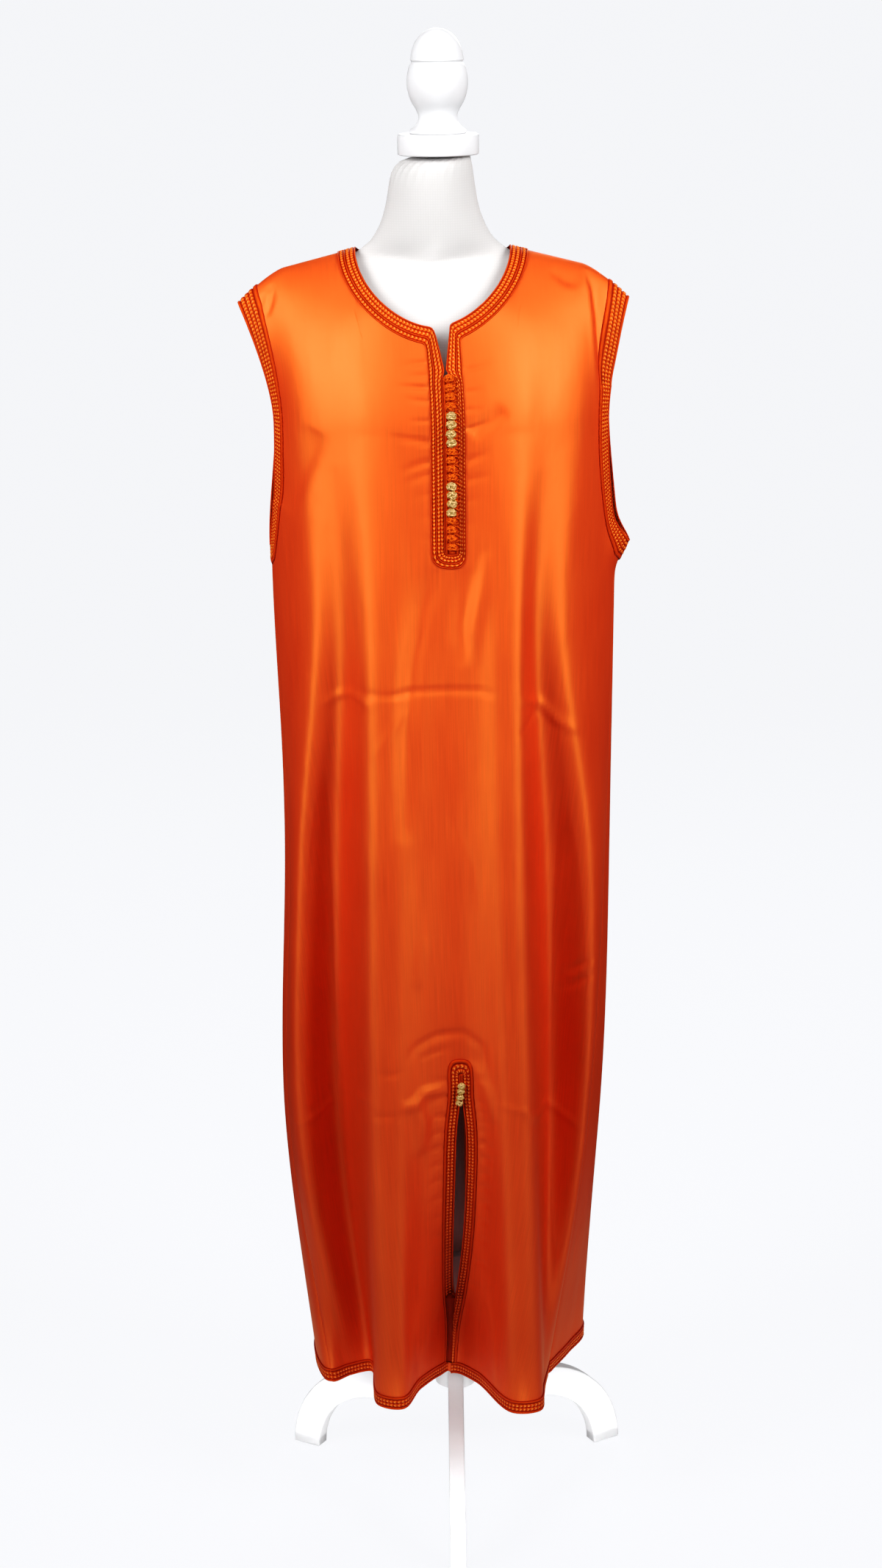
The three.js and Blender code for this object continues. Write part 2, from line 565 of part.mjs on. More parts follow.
// Armhole braids, in a front and a back length
const underarmRow = rowAt(UNDERARM);
const armRows = [underarmRow, TOP_ROW];
const leftEdge = [onLeft(EDGE_COLUMN), onLeft(EDGE_COLUMN - 1)];
const rightEdge = [onRight(EDGE_COLUMN - 1), onRight(EDGE_COLUMN)];
addTrim("arm_trim_left_front", cellsOf(front, { columns: leftEdge, rows: armRows }));
addTrim("arm_trim_right_front", cellsOf(front, { columns: rightEdge, rows: armRows }));
addTrim("arm_trim_right_back", cellsOf(back, { columns: [0, 1], rows: armRows }));
addTrim("arm_trim_left_back", cellsOf(back, { columns: [BACK_LAST - 1, BACK_LAST], rows: armRows }));

// Placket: the braid is a U round the strip, and runs up both edges of the notch
const cutRow = rowAt(PLACKET_CUT);
addTrim("placket_trim", [
  ...cellsOf(front, { columns: [onLeft(PLACKET_COLUMN), onLeft(1)], rows: [cutRow, TOP_ROW] }),
  ...cellsOf(front, { columns: [onLeft(1), onLeft(0)], rows: [NOTCH_ROW, TOP_ROW] }),
  ...cellsOf(front, { columns: [onRight(0), onRight(1)], rows: [NOTCH_ROW, TOP_ROW] }),
  ...cellsOf(front, { columns: [onRight(1), onRight(PLACKET_COLUMN)], rows: [cutRow, TOP_ROW] }),
  ...cellsOf(front, { columns: acrossPlacket, rows: [rowAt(PLACKET_BOTTOM), cutRow], keep: isBesideCentre }),
]);
const allRound = { left: true, right: true, bottom: true, top: true };
const strip = { columns: [onLeft(1), onRight(1)], rows: [cutRow, NOTCH_ROW], inset: allRound };
addTrim("button_strip", cellsOf(front, strip));

// Neck braids: the last row, from the placket's braid or the back centre out to the ridge
const neckRows = [TOP_ROW - 1, TOP_ROW];
const FRONT_END = PLACKET_COLUMN + neckColumn("front") + 1;
const BACK_END = neckColumn("back") + 1;
const BACK_MIDDLE = BACK_LAST / 2;
const leftOfPlacket = { columns: [onLeft(FRONT_END), leftSlit[0]], rows: neckRows, inset: { right: true } };
const rightOfPlacket = { columns: [rightSlit[1], onRight(FRONT_END)], rows: neckRows, inset: { left: true } };
const backNeck = { columns: [BACK_MIDDLE - BACK_END, BACK_MIDDLE + BACK_END], rows: neckRows };
addTrim("neck_trim_front_left", cellsOf(front, leftOfPlacket));
addTrim("neck_trim_front_right", cellsOf(front, rightOfPlacket));
addTrim("neck_trim_back", cellsOf(back, backNeck));

// What sits on the braids: a shape moved to the surface and turned to face out of it
function placeOnFront(geometry, across, height, lift) {
  const half = halfLength(Math.min(height, CHEST), "front", "right");
  const share = across / half;
  const rise = riseAtHeight("front", share, height);
  const normal = clothNormal("front", share, rise);
  const up = clothSlopes("front", share, rise).up.normalize();
  const place = clothPoint("front", share, rise).addScaledVector(normal, lift);
  const turn = new THREE.Matrix4().makeBasis(up.clone().cross(normal), up, normal);
  return geometry.applyMatrix4(turn.setPosition(place));
}

for (let k = 0; k < BUTTONS.count; k++) {
  const knot = new THREE.SphereGeometry(1, KNOT_SIDES.round, KNOT_SIDES.up);
  knot.scale(KNOT.width / 2, KNOT.height / 2, KNOT.depth / 2);
  const height = mix(BUTTONS.top, BUTTONS.bottom, k / (BUTTONS.count - 1));
  const isGold = Math.floor(k / BUTTONS.group) % 2 === 1;
  placeOnFront(knot, BUTTONS.across, height, TRIM_HIGH + KNOT.depth / 2 + FREE_CLEARANCE);
  addPiece(`button_${String(k + 1).padStart(2, "0")}`, knot, isGold ? GOLD : BRAID);
}

function barTack() {
  const { length, radius, lobes, waist, tip, shoulder } = BAR_TACK;
  const lobe = length / lobes;
  const profile = [[0, -length / 2]];
  for (let k = 0; k < lobes; k++) {
    const base = k * lobe - length / 2;
    profile.push([radius * (k ? waist : tip), base + lobe * shoulder], [radius, base + lobe / 2]);
  }
  profile.push([radius * tip, length / 2], [0, length / 2]);
  return new THREE.LatheGeometry(profile.map(([out, up]) => new THREE.Vector2(out, up)), TACK_SIDES);
}
const tack = barTack().rotateZ(BAR_TACK.lean);
placeOnFront(tack, 0, BAR_TACK.top - BAR_TACK.length / 2, TRIM_HIGH + BAR_TACK.radius + FREE_CLEARANCE);
addPiece("slit_bar_tack", tack, GOLD);

// The torso: superellipse sections joined up, with a flat face at each end
function sectionPoint({ height, half, front: ahead, back: behind, power }, turn) {
  const [c, s] = [Math.cos(turn), Math.sin(turn)];
  const depth = s < 0 ? ahead : behind;
  const size = (Math.abs(c) ** power + Math.abs(s) ** power) ** (-1 / power);
  return [CENTRE_X + half * c * size, depth * s * size, height];
}

const shoulderSections = FORM_SHOULDER.map((row) => ({
  ...row,
  height: ridgeHeight(CENTRE_X + row.half) - SHOULDER_CLEARANCE - row.drop,
}));
const torsoSections = [...FORM_SECTIONS, ...shoulderSections, ...FORM_NECK];
const torsoPositions = [];
const torsoIndex = [];
const sideTurn = (2 * Math.PI) / FORM_SIDES;
for (const section of torsoSections)
  for (let k = 0; k < FORM_SIDES; k++) torsoPositions.push(...sectionPoint(section, k * sideTurn));
for (let j = 0; j < torsoSections.length - 1; j++)
  for (let k = 0; k < FORM_SIDES; k++) {
    const [a, b] = [j * FORM_SIDES + k, j * FORM_SIDES + ((k + 1) % FORM_SIDES)];
    torsoIndex.push(a, b, b + FORM_SIDES, a, b + FORM_SIDES, a + FORM_SIDES);
  }
const lastRing = (torsoSections.length - 1) * FORM_SIDES;
for (let k = 1; k < FORM_SIDES - 1; k++) {
  torsoIndex.push(0, k + 1, k);
  torsoIndex.push(lastRing, lastRing + k, lastRing + k + 1);
}
const torso = new THREE.BufferGeometry()
  .setAttribute("position", new THREE.Float32BufferAttribute(torsoPositions, 3))
  .setIndex(torsoIndex);
addPiece("form_torso", torso, WHITE_CLOTH);

// Turned wood: each profile is spun round +Y and stood up on +Z
function turned(profile, x) {
  const points = profile.map(([radius, height]) => new THREE.Vector2(radius, height));
  return new THREE.LatheGeometry(points, TURNED_SIDES).rotateX(Math.PI / 2).translate(x, 0, 0);
}
addPiece("neck_cap", turned(NECK_CAP_PROFILE, CENTRE_X), WHITE_PAINT);
addPiece("finial", turned(FINIAL_PROFILE, CENTRE_X), WHITE_PAINT);
addPiece("hub", turned(HUB_PROFILE, 0), WHITE_PAINT);
addPiece("pole", turned(POLE_PROFILE, 0), WHITE_PAINT);

// A leg: a board cut to an arch whose outer edges sweep up to the hub
function legOutline() {
  const { archCentre, archOuter, archInner, inner, seatBottom, seatTop, footTaper } = LEG;
  const { outerTurn, innerTurn, outerPull, innerPull, topPull, bottomPull } = LEG;
  const onArch = (reach, turn) => [archCentre + reach * Math.cos(turn), reach * Math.sin(turn)];
  const shape = new THREE.Shape();
  shape.moveTo(archCentre + archOuter, 0);
  shape.absarc(archCentre, 0, archOuter, 0, outerTurn, false);
  const [outerX, outerZ] = onArch(archOuter, outerTurn);
  shape.bezierCurveTo(
    outerX - outerPull * Math.sin(outerTurn), outerZ + outerPull * Math.cos(outerTurn),
    inner + topPull.out, seatTop - topPull.down, inner, seatTop,
  );
  shape.lineTo(inner, seatBottom);
  const [innerX, innerZ] = onArch(archInner, innerTurn);
  shape.bezierCurveTo(
    inner + bottomPull.out, seatBottom - bottomPull.down,
    innerX - innerPull * Math.sin(innerTurn), innerZ + innerPull * Math.cos(innerTurn), innerX, innerZ,
  );
  shape.absarc(archCentre, 0, archInner, innerTurn, 0, true);
  shape.lineTo(archCentre + archInner + footTaper, 0);
  return shape;
}
for (const [name, degrees] of Object.entries(LEGS)) {
  const board = new THREE.ExtrudeGeometry(legOutline(), {
    depth: LEG.thickness,
    bevelEnabled: false,
    curveSegments: LEG.curveSteps,
  });
  board.translate(0, 0, -LEG.thickness / 2).rotateX(Math.PI / 2).rotateZ(THREE.MathUtils.degToRad(degrees));
  addPiece(name, board, WHITE_PAINT);
}

// The origin is on the floor under the middle of the whole
const bounds = new THREE.Box3().setFromObject(model);
const middle = bounds.getCenter(new THREE.Vector3());
model.position.set(-middle.x, -middle.y, -bounds.min.z);

export default model;
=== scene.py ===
# %% [markdown]
# # A gandoura on a dress form
# The object is a long sleeveless robe of orange satin, edged with silk braid and closed with small knots,
# as it hangs on a white tailor's form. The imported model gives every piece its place. This notebook gives
# each one its finish, and shows how soft cloth, flat braid, knotted cord and painted wood can be made in
# Blender.

# %% Load the fixed frame
import json
import math

import bpy
import numpy as np
from mathutils import Matrix, Vector

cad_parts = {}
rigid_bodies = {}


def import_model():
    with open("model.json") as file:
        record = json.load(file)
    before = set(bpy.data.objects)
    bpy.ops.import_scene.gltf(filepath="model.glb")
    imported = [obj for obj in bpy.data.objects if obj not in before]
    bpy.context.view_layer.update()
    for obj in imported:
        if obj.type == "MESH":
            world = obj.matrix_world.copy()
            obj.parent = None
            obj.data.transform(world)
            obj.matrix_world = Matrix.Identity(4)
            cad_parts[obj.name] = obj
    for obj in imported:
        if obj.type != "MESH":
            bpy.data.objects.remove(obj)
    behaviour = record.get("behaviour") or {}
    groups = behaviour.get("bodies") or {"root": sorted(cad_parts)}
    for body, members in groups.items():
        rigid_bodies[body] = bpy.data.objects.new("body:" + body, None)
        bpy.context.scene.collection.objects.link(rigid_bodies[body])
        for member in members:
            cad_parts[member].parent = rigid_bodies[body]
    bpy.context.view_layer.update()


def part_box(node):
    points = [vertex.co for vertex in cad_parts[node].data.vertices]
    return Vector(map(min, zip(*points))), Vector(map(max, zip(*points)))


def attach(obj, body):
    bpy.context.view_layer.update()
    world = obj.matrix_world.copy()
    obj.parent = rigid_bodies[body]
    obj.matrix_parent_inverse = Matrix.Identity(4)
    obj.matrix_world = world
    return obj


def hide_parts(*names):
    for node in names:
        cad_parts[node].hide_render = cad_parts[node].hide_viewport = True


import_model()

MM = 0.001
pole_low, pole_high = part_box("pole")
AXIS = Vector(((pole_low[0] + pole_high[0]) / 2, (pole_low[1] + pole_high[1]) / 2, 0))
print("the pole stands at", tuple(round(v, 4) for v in AXIS))

# %% [markdown]
# ## The camera and the room
# The photograph was taken from the front, a little above the shoulders, through a long lens that looks
# down. A long lens keeps the robe's sides nearly parallel. The camera is made first, so every later step
# can be looked at.

# %% The camera, as the photograph was taken
CAMERA_DISTANCE = 3224.9 * MM
CAMERA_HEIGHT = 1790 * MM
LOOKING_DOWN = math.radians(15.858)
TURNED_LEFT = math.radians(0.125)
LEANING = math.radians(0.85)
LENS = 68.3  # mm, on a frame 36 mm tall
SHADE_CURVE = ((0.02, 0.008), (0.06, 0.032), (0.15, 0.152))  # given and shown: a camera deepens its shadows

bpy.ops.object.select_all(action="DESELECT")
bpy.ops.object.camera_add(location=AXIS + Vector((0, -CAMERA_DISTANCE, CAMERA_HEIGHT)))
camera = bpy.context.object
camera.name = "camera"
camera.data.lens = LENS
camera.data.sensor_width = 36
turn = Matrix.Rotation(TURNED_LEFT, 3, "Z") @ Matrix.Rotation(math.pi / 2 - LOOKING_DOWN, 3, "X")
camera.rotation_euler = (turn @ Matrix.Rotation(-LEANING, 3, "Z")).to_euler()
bpy.context.scene.camera = camera
view = bpy.context.scene.view_settings
view.view_transform = "Standard"
view.use_curve_mapping = True
for given, shown in SHADE_CURVE:
    view.curve_mapping.curves[3].points.new(given, shown)
view.curve_mapping.update()
print("camera at", tuple(round(v, 3) for v in camera.location))

# %% Small helpers for colours, nodes and finished pieces
def srgb(code):
    """A colour from its sRGB hex value, as the linear numbers that a shader takes."""
    channels = [int(code[i:i + 2], 16) / 255 for i in (1, 3, 5)]
    linear = [c / 12.92 if c <= 0.04045 else ((c + 0.055) / 1.055) ** 2.4 for c in channels]
    return (*linear, 1.0)


def new_material(name):
    """A material with nothing in it but its shader and its output."""
    material = bpy.data.materials.new(name)
    material.use_nodes = True
    material.node_tree.nodes.clear()
    output = material.node_tree.nodes.new("ShaderNodeOutputMaterial")
    shader = material.node_tree.nodes.new("ShaderNodeBsdfPrincipled")
    material.node_tree.links.new(shader.outputs[0], output.inputs[0])
    return material, shader


def fill_inputs(material, node, inputs):
    """Each input of a node takes a value, or a link from another node's output."""
    for key, value in dict(inputs).items():
        if isinstance(value, bpy.types.NodeSocket):
            material.node_tree.links.new(value, node.inputs[key])
        else:
            node.inputs[key].default_value = value
    return node


def add_node(material, kind, inputs=(), **settings):
    """One node, with its settings and its inputs."""
    node = material.node_tree.nodes.new(kind)
    for key, value in settings.items():
        setattr(node, key, value)
    return fill_inputs(material, node, inputs)


def finish_piece(piece, slot, *nodes):
    """The piece rides with the body and stands for its nodes, which are hidden; its slot is not used."""
    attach(piece, "root")
    if nodes:
        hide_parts(*nodes)
    return piece


# %% [markdown]
# The room is a wide paper bowl, so that every view ends in the same pale grey. A white room lights a robe
# from all round and flattens its folds, and a studio keeps that light off with dark flags. Here the paper is
# left out of the light that falls on the robe, and the lamps and a dim sky do the rest.

# %% The paper bowl, as radius and height
BOWL = [(7.5, 0.0), (9.0, 0.12), (10.4, 0.5), (11.6, 1.2), (12.5, 2.2), (13.0, 3.6), (13.2, 9.0)]
BOWL_SIDES = 96
bpy.ops.object.select_all(action="DESELECT")
bpy.ops.mesh.primitive_circle_add(vertices=BOWL_SIDES, radius=BOWL[0][0], fill_type="NGON")
floor = bpy.context.object
floor.name = "floor"
bpy.ops.object.mode_set(mode="EDIT")
for (radius, height), (next_radius, next_height) in zip(BOWL, BOWL[1:]):
    bpy.ops.mesh.extrude_region_move(TRANSFORM_OT_translate={"value": (0, 0, next_height - height)})
    bpy.ops.transform.resize(value=(next_radius / radius, next_radius / radius, 1))
bpy.ops.object.mode_set(mode="OBJECT")
bpy.ops.object.shade_smooth()
floor.visible_diffuse = False
floor.visible_glossy = False

paper, paper_shader = new_material("matt white studio paper")
fill_inputs(paper, paper_shader, {
    "Base Color": srgb("#4A4A4D"), "Roughness": 0.95, "Specular IOR Level": 0.1,
    "Emission Color": srgb("#F6F7FA"), "Emission Strength": 0.975})
floor.data.materials.append(paper)

# %% The lamps: softboxes with a place, an aim, a width and height, a power in watts and a spread in degrees
LAMPS = [
    ("key_light", (-0.2, -2.7, 2.7), (0, 0, 1.2), (1.0, 1.0), 6.8, 180),
    ("top_light", (0.0, -1.45, 2.6), (0, 0, 1.22), (3.2, 0.7), 19.5, 180),
    ("chest_light", (-1.6, -1.15, 2.15), (-0.1, 0, 1.3), (0.9, 1.3), 8, 58),
    ("chest_light", (1.6, -1.15, 2.15), (0.1, 0, 1.3), (0.9, 1.3), 8, 58),
    ("leg_light", (0.0, -1.6, 0.06), (0, 0, 0.05), (1.2, 0.1), 1.0, 12),
    ("back_light", (0.4, 2.8, 2.4), (0, 0, 1.1), (1.6, 1.0), 30, 180),
    ("floor_bounce", (0, 0, 0.01), (0, 0, 1), (1.4, 1.4), 4.0, 180),
]
for name, place, aim, size, power, spread in LAMPS:
    bpy.ops.object.light_add(type="AREA", location=place)
    light = bpy.context.object
    light.name = name
    light.data.shape = "RECTANGLE"
    light.data.size, light.data.size_y = size
    light.data.energy = power
    light.data.spread = math.radians(spread)
    light.rotation_euler = (Vector(aim) - Vector(place)).to_track_quat("-Z", "Y").to_euler()
    light.visible_camera = False
print(len(LAMPS), "lamps")

world = bpy.data.worlds.new("dim room")
bpy.context.scene.world = world
world.use_nodes = True
world.node_tree.nodes["Background"].inputs["Color"].default_value = srgb("#F4F5F8")
world.node_tree.nodes["Background"].inputs["Strength"].default_value = 0.05

# %% [markdown]
# ## The robe's surface
# A robe like this is two flat cuts of satin, sewn at the sides and the shoulders. It hangs from the
# shoulders, so its plan at any height is one closed line that swells out at each fold. Here that line runs
# through a few named folds at five heights, the same ones that shape the solid cloth, and the yoke is a
# curve from the chest up to the shoulder ridge. A simulation would drape it too, but would not put the
# folds where the photograph has them.

# %% The garment's heights and widths, in millimetres
HEM, SLIT_MEET, SLIT_CLOSE, SLIT_TOP, SLIT_TRIM_TOP = 168, 282, 550, 570, 591
UNDERARM, CHEST = 1150, 1290
NECK_POINT, NECK_FRONT, NECK_BACK = 1472, 1399, 1450
CENTRE_X, NECK_HALF_WIDTH, NECK_ROUNDNESS = -7.5, 82.5, 1.7
RIDGE_SLOPE, RIDGE_DROOP_FROM, RIDGE_DROOP = 0.25, 160, 0.072
SHOULDER_REACH, ARM_EDGE, ARM_CURVE, YOKE_FULLNESS = 210, 0.85, 0.8, 0.4
UNDERARM_CORNER = {"from": 0.8, "reach": 16, "height": 22}
NECK_TRIM_WIDTH, NECK_TRIM_DROP = 20, 18
ARM_TRIM_WIDTH, HEM_TRIM_WIDTH, SLIT_TRIM_WIDTH = 22, 16, 15

LEVELS = (HEM, 480, 800, 1110, CHEST)
FRONT_FOLDS = {
    "left seam": [(-145, -68), (-188, -26), (-180, -6), (-189, 0), (-190, 2)],
    "left side": [(-123, -50), (-170, -86), (-164, -94), (-142, -98), (-158, -72)],
    "left valley": [(-98, -42), (-128, -56), (-124, -82), (-112, -109), (-114, -104)],
    "left ridge": [(-88, -127), (-90, -142), (-86, -146), (-80, -136), (-86, -117)],
    "left crest": [(-62, -137), (-62, -147), (-60, -150), (-56, -139), (-58, -124.5)],
    "left slope": [(-41, -86), (-30, -126), (-30, -140), (-28, -134), (-28, -128)],
    "centre": [(-6, -46), (10, -112), (7.5, -134), (5, -131), (6, -129)],
    "right slope": [(24, -72), (34, -124), (34, -140), (34, -133), (36, -128)],
    "right crest": [(66, -150), (63, -149), (60, -151), (58, -138), (60, -124)],
    "right ridge": [(95, -146), (89, -144), (82, -146), (79, -135), (86, -116)],
    "right valley": [(100, -112), (112, -62), (109, -84), (98, -112), (110, -103)],
    "right side": [(103, -80), (148, -80), (158, -92), (130, -100), (152, -72)],
    "right seam": [(108, -56), (156, -44), (178, -6), (187, 0), (190, 2)],
}
BACK_FOLDS = {
    "right flank": [(133, -2), (172, 10), (183, 48), (176, 60), (170, 60)],
    "right bulge": [(153, 50), (166, 66), (150, 104), (130, 104), (122, 100)],
    "right back ridge": [(116, 122), (116, 128), (95, 134), (80, 122), (76, 116)],
    "right back valley": [(72, 96), (66, 110), (52, 120), (42, 121), (40, 118)],
    "back centre": [(22, 138), (10, 137), (0, 136), (0, 125), (0, 118)],
    "left back valley": [(-40, 92), (-48, 108), (-48, 118), (-42, 120), (-40, 118)],
    "left back ridge": [(-90, 140), (-96, 138), (-92, 134), (-82, 122), (-76, 116)],
    "left bulge": [(-140, 92), (-152, 98), (-150, 104), (-130, 104), (-122, 100)],
    "left flank": [(-165, 14), (-193, 30), (-185, 48), (-178, 60), (-170, 60)],
}
FOLDS = {**FRONT_FOLDS, **BACK_FOLDS}
NAMES = list(FOLDS)
CENTRE_FOLD, RIGHT_SEAM, BACK_CENTRE = (NAMES.index(n) for n in ("centre", "right seam", "back centre"))


# %% The closed line round the body at each height
def smooth_through(knots, rows, at, closed=False):
    """A smooth line through rows of numbers, with each knot's slope taken from its two neighbours."""
    knots, rows, at = (np.asarray(given, float) for given in (knots, rows, at))
    span = np.diff(knots)
    slope = np.diff(rows, axis=0) / span[:, None]
    before, wide, narrow = np.roll(slope, 1, axis=0), span[:, None], np.roll(span, 1)[:, None]
    tangent = (before * wide + slope * narrow) / (wide + narrow)
    tangent = np.vstack([tangent, tangent[0] if closed else slope[-1]])
    if not closed:
        tangent[0] = slope[0]
    k = np.clip(np.searchsorted(knots, at, side="right") - 1, 0, len(span) - 1)
    h = span[k][:, None]
    t = ((at - knots[k]) / span[k])[:, None]
    start = (2 * t**3 - 3 * t**2 + 1) * rows[k] + (t**3 - 2 * t**2 + t) * h * tangent[k]
    return start + (3 * t**2 - 2 * t**3) * rows[k + 1] + (t**3 - t**2) * h * tangent[k + 1]


def run_along(points):
    """The length run from the first point of a line up to each of its points."""
    return np.concatenate([[0], np.cumsum(np.linalg.norm(np.diff(points, axis=0), axis=-1))])


RING_STEPS = 16  # points from one fold to the next
LEVEL_STEP = 2
SHARES = np.linspace(-1, 1, 561)
heights = np.arange(HEM, CHEST + 1, LEVEL_STEP)
fold_rows = np.array([[FOLDS[name][level] for name in NAMES] for level in range(len(LEVELS))], float)
fold_places = smooth_through(LEVELS, fold_rows.reshape(len(LEVELS), -1), heights).reshape(len(heights), -1, 2)


def ring_at(nodes):
    """Points along the closed line through one height's folds, and the length run up to each."""
    nodes = np.vstack([nodes, nodes[:1]])
    knots = np.concatenate([[0], np.cumsum(np.sqrt(np.hypot(*np.diff(nodes, axis=0).T)))])
    fine = np.concatenate([np.linspace(a, b, RING_STEPS, endpoint=False) for a, b in zip(knots, knots[1:])])
    points = smooth_through(knots, nodes, np.append(fine, knots[-1]), closed=True)
    return points, run_along(points)


plans = {panel: np.zeros((len(heights), len(SHARES), 2)) for panel in ("front", "back")}
half_lengths = {(panel, side): np.zeros(len(heights)) for panel in plans for side in ("left", "right")}
for level, nodes in enumerate(fold_places):
    points, lengths = ring_at(nodes)
    run_to = {fold: lengths[fold * RING_STEPS] for fold in (CENTRE_FOLD, RIGHT_SEAM, BACK_CENTRE)}
    ends = {"front": (0, run_to[CENTRE_FOLD]), "back": (lengths[-1], run_to[BACK_CENTRE])}
    for panel, (left, centre) in ends.items():
        right = run_to[RIGHT_SEAM]
        run = np.where(SHARES < 0, centre + (centre - left) * SHARES, centre + (right - centre) * SHARES)
        plans[panel][level] = np.stack([np.interp(run, lengths, points[:, axis]) for axis in (0, 1)], axis=-1)
        half_lengths[panel, "left"][level] = abs(centre - left)
        half_lengths[panel, "right"][level] = abs(right - centre)
hem_round = sum(lengths[0] for lengths in half_lengths.values())
chest_round = sum(lengths[-1] for lengths in half_lengths.values())
print("the hem is", round(hem_round), "mm round, and the chest", round(chest_round))

# %% [markdown]
# Any point of the cloth is then given by two numbers. Its share says how far round from the centre line to
# the seam it is, and its climb how far up: a height up to the chest, and from there the way up the yoke to
# the ridge. Every braid, crease and stitch uses the same two numbers, so it lies on the cloth wherever the
# cloth goes.

# %% A point of the cloth, from its share and its climb
YOKE_SPAN = 200
RIDGE = CHEST + YOKE_SPAN


def half_length(panel, share, climb):
    """The length of cloth from the centre line to the seam, on the side that the share is on."""
    at = np.minimum(climb, CHEST)
    left, right = (np.interp(at, heights, half_lengths[panel, side]) for side in ("left", "right"))
    return np.where(np.asarray(share) < 0, left, right)


def ridge_height(x):
    out = np.abs(x - CENTRE_X)
    droop = RIDGE_DROOP * np.maximum(0, out - RIDGE_DROOP_FROM) ** 1.5
    return NECK_POINT - RIDGE_SLOPE * (out - NECK_HALF_WIDTH) - droop


def plan_point(panel, share, height):
    """The plan's x and y, read between the nearest heights and shares."""
    row = np.clip((height - HEM) / LEVEL_STEP, 0, len(heights) - 1.001)
    column = np.clip((share + 1) / 2 * (len(SHARES) - 1), 0, len(SHARES) - 1.001)
    r, c = row.astype(int), column.astype(int)
    fr, fc = (row - r)[..., None], (column - c)[..., None]
    table = plans[panel]
    low = table[r, c] * (1 - fc) + table[r, c + 1] * fc
    return low * (1 - fr) + (table[r + 1, c] * (1 - fc) + table[r + 1, c + 1] * fc) * fr


def bare_point(panel, share, climb):
    """The hanging cloth's middle surface before any crease."""
    share, climb = np.broadcast_arrays(np.asarray(share, float), np.asarray(climb, float))
    height = np.minimum(climb, CHEST)
    x, y = np.moveaxis(plan_point(panel, share, height), -1, 0)
    corner = np.clip((share - UNDERARM_CORNER["from"]) / (1 - UNDERARM_CORNER["from"]), 0, 1) ** 2
    below = (height - UNDERARM) / UNDERARM_CORNER["height"]
    x = x + UNDERARM_CORNER["reach"] * corner * np.exp(-(below**2))
    t = np.clip((climb - CHEST) / YOKE_SPAN, 0, 1)
    ridge_x = CENTRE_X + SHOULDER_REACH * share / ARM_EDGE
    top = ridge_height(ridge_x)
    middle = CHEST + YOKE_FULLNESS * (top - CHEST)
    yoke_z = CHEST * (1 - t) ** 3 + 3 * middle * t * (1 - t) ** 2 + top * (3 * t**2 * (1 - t) + t**3)
    yoke_y = y * ((1 - t) ** 3 + 3 * t * (1 - t) ** 2 + 3 * YOKE_FULLNESS * t**2 * (1 - t))
    z = np.where(climb > CHEST, yoke_z, height)
    return np.stack([x + (ridge_x - x) * t * t * (3 - 2 * t), yoke_y, z], axis=-1)


RIDGE_ROUND = 12  # over this much of the climb the normal turns upright
CLIMB_PROBE, SHARE_PROBE = 2, 0.008  # the short steps that give the surface's slope
HALVINGS = 22  # rounds of closing in on a climb
AT_RIDGE = 0.999  # past this part of the yoke, a line has reached the ridge
SHARE_WIDTH, SHARE_ROUNDS = 240, 8  # a share of one is about this wide, and closing in on one takes this long


def normals_of(panel, share, climb):
    """The bare cloth's outward normals, from short steps each way."""
    share, climb = np.broadcast_arrays(np.asarray(share, float), np.asarray(climb, float))
    high = np.minimum(climb + CLIMB_PROBE, np.where(climb > CHEST, RIDGE, CHEST))
    low = np.maximum(climb - CLIMB_PROBE, np.where(climb > CHEST, CHEST, HEM))
    left, right = np.maximum(share - SHARE_PROBE, -1), np.minimum(share + SHARE_PROBE, 1)
    across = bare_point(panel, right, climb) - bare_point(panel, left, climb)
    up = bare_point(panel, share, high) - bare_point(panel, share, low)
    normal = np.cross(across, up) * (1 if panel == "front" else -1)
    normal[..., 1] *= 1 - np.clip((climb - RIDGE + RIDGE_ROUND) / RIDGE_ROUND, 0, 1)
    return normal / np.maximum(np.linalg.norm(normal, axis=-1, keepdims=True), 1e-9)


def climb_to(panel, share, over):
    """The climb above the chest at which a share's line goes over a limit, or else the ridge."""
    low, high = np.zeros_like(share), np.ones_like(share)
    for _ in range(HALVINGS):
        middle = (low + high) / 2
        beyond = over(bare_point(panel, share, CHEST + YOKE_SPAN * middle))
        low, high = np.where(beyond, low, middle), np.where(beyond, middle, high)
    return CHEST + YOKE_SPAN * np.where(low > AT_RIDGE, 1.0, low)


def neckline(panel, x, grow):
    """The neckline's height at a place across, moved out by grow as the braid's lines are."""
    half = NECK_HALF_WIDTH + grow
    bottom = (NECK_FRONT if panel == "front" else NECK_BACK) - grow * NECK_TRIM_DROP / NECK_TRIM_WIDTH
    out = np.clip(np.abs(x - CENTRE_X) / half, 0, 1)
    height = NECK_POINT - (NECK_POINT - bottom) * (1 - out**NECK_ROUNDNESS) ** (1 / NECK_ROUNDNESS)
    return np.where(np.abs(x - CENTRE_X) >= half, np.inf, height)


def neck_climb(panel, share, grow):
    return climb_to(panel, share, lambda point: point[..., 2] > neckline(panel, point[..., 0], grow))


def climb_at(panel, share, z):
    """The climb at which a share's line up the cloth reaches a height."""
    return np.where(z <= CHEST, z, climb_to(panel, share, lambda point: point[..., 2] > z))


def share_at(panel, x, z):
    """The share and climb of the cloth seen from the front at x and z, near the neck."""
    share = (x - CENTRE_X) * ARM_EDGE / SHOULDER_REACH
    for _ in range(SHARE_ROUNDS):
        climb = climb_at(panel, share, z)
        share = share + (x - bare_point(panel, share, climb)[..., 0]) / SHARE_WIDTH
    return share, climb


